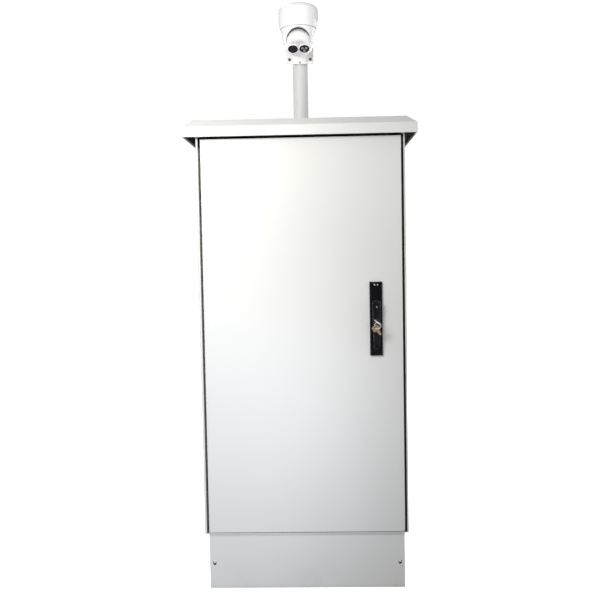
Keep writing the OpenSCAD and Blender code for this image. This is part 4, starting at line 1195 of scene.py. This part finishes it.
def studio_floor():
    """A plain pale floor that takes the cabinet's soft shadow and throws no light back on it."""
    f = Finish("studio_floor", {"Emission Strength": 0.78, "Specular IOR Level": 0.2})
    drift = f.noise(0.8, 3.0)
    tone = f.mix(drift, shade(0.80), shade(0.84))
    relief = f.bump(f.noise(160.0, 2.0), 0.02, 0.3 * MM)
    rough = f.spread(drift, 0.2, 0.8, 0.62, 0.72)
    glow = f.mix(drift, shade(0.98), shade(1.0))
    f.surface({"Base Color": tone, "Roughness": rough, "Normal": relief, "Emission Color": glow})
    f.material.cycles.emission_sampling = "NONE"
    form = bmesh.new()
    bmesh.ops.create_grid(form, x_segments=8, y_segments=8, size=FLOOR_REACH)
    floor = show("studio_floor", form, f.material)
    floor.visible_diffuse = False
    floor.visible_glossy = False


def light(name, kind, place, aim, power, colour):
    data = bpy.data.lights.new(name, kind)
    data.energy = power
    data.color = colour
    lamp = bpy.data.objects.new(name, data)
    lamp.location = place
    lamp.rotation_mode = "QUATERNION"
    lamp.rotation_quaternion = (Vector(aim) - Vector(place)).to_track_quat("-Z", "Y")
    lamp.visible_camera = False
    bpy.context.scene.collection.objects.link(lamp)
    return data


def studio_light():
    """White backdrop, an even fill from sky and floor, soft lights and two spots."""
    world = bpy.data.worlds.new("studio")
    world.use_nodes = True
    bpy.context.scene.world = world
    t = Tree(world.node_tree)
    t.group.nodes.clear()
    backdrop = t.add("ShaderNodeBackground", None, {"Color": shade(1.0), "Strength": BACKDROP})
    way = t.add("ShaderNodeTexCoord", out="Generated")
    rise = t.add("ShaderNodeSeparateXYZ", None, {"Vector": way}, "Z")
    ends = {"From Min": -0.15, "From Max": 0.10, "To Min": FLOOR_FILL, "To Max": SKY_FILL}
    strength = t.add("ShaderNodeMapRange", {"clamp": True}, {"Value": rise, **ends})
    fill = t.add("ShaderNodeBackground", None, {"Color": shade(1.0), "Strength": strength})
    seen = t.add("ShaderNodeLightPath", None, None, "Is Camera Ray")
    mixed = t.add("ShaderNodeMixShader", None, {0: seen, 1: fill, 2: backdrop})
    t.add("ShaderNodeOutputWorld", None, {"Surface": mixed})
    for name, (place, aim, size, power, colour) in SOFT_LIGHTS.items():
        light(name, "AREA", place, aim, power, colour).size = size
    for name, (place, aim, power, colour, cone, blend, size) in SPOTS.items():
        spot = light(name, "SPOT", place, aim, power, colour)
        spot.spot_size = cone
        spot.spot_blend = blend
        spot.shadow_soft_size = size
    view = bpy.context.scene.view_settings
    view.view_transform = "Standard"
    view.look = "None"


def photo_camera():
    """The camera at the photograph's viewing angle."""
    turn_x, turn_y = math.sin(VIEW_YAW), math.cos(VIEW_YAW)
    dip, level = math.sin(VIEW_PITCH), math.cos(VIEW_PITCH)
    right = Vector((turn_y, -turn_x, 0.0))
    ahead = Vector((turn_x * level, turn_y * level, -dip))
    above = Vector((turn_x * dip, turn_y * dip, level))
    across = right * math.cos(VIEW_ROLL) + above * math.sin(VIEW_ROLL)
    rise = above * math.cos(VIEW_ROLL) - right * math.sin(VIEW_ROLL)
    data = bpy.data.cameras.new("viewpoint")
    data.sensor_width = 36.0
    data.lens = VIEW_LENS
    data.shift_y = VIEW_SHIFT
    data.clip_end = 200.0
    viewpoint = bpy.data.objects.new("viewpoint", data)
    turn = Matrix((across, rise, -ahead)).transposed().to_4x4()
    viewpoint.matrix_world = Matrix.Translation(VIEW_PLACE) @ turn
    bpy.context.scene.collection.objects.link(viewpoint)
    bpy.context.scene.camera = viewpoint


dress_solids()
plinth_screws()
bracket_screws()
device_screws()
hinge_screws()
vent_cover()
weld_bead()
camera_front()
camera_lens()
camera_lamps()
eye_seal_and_gap_shade()
turret_seal()
arm_plug()
nest_rim()
lock_pins()
opening_channel()
door_hems()
eaves_teeth()
plinth_skirt()
studio_floor()
studio_light()
photo_camera()
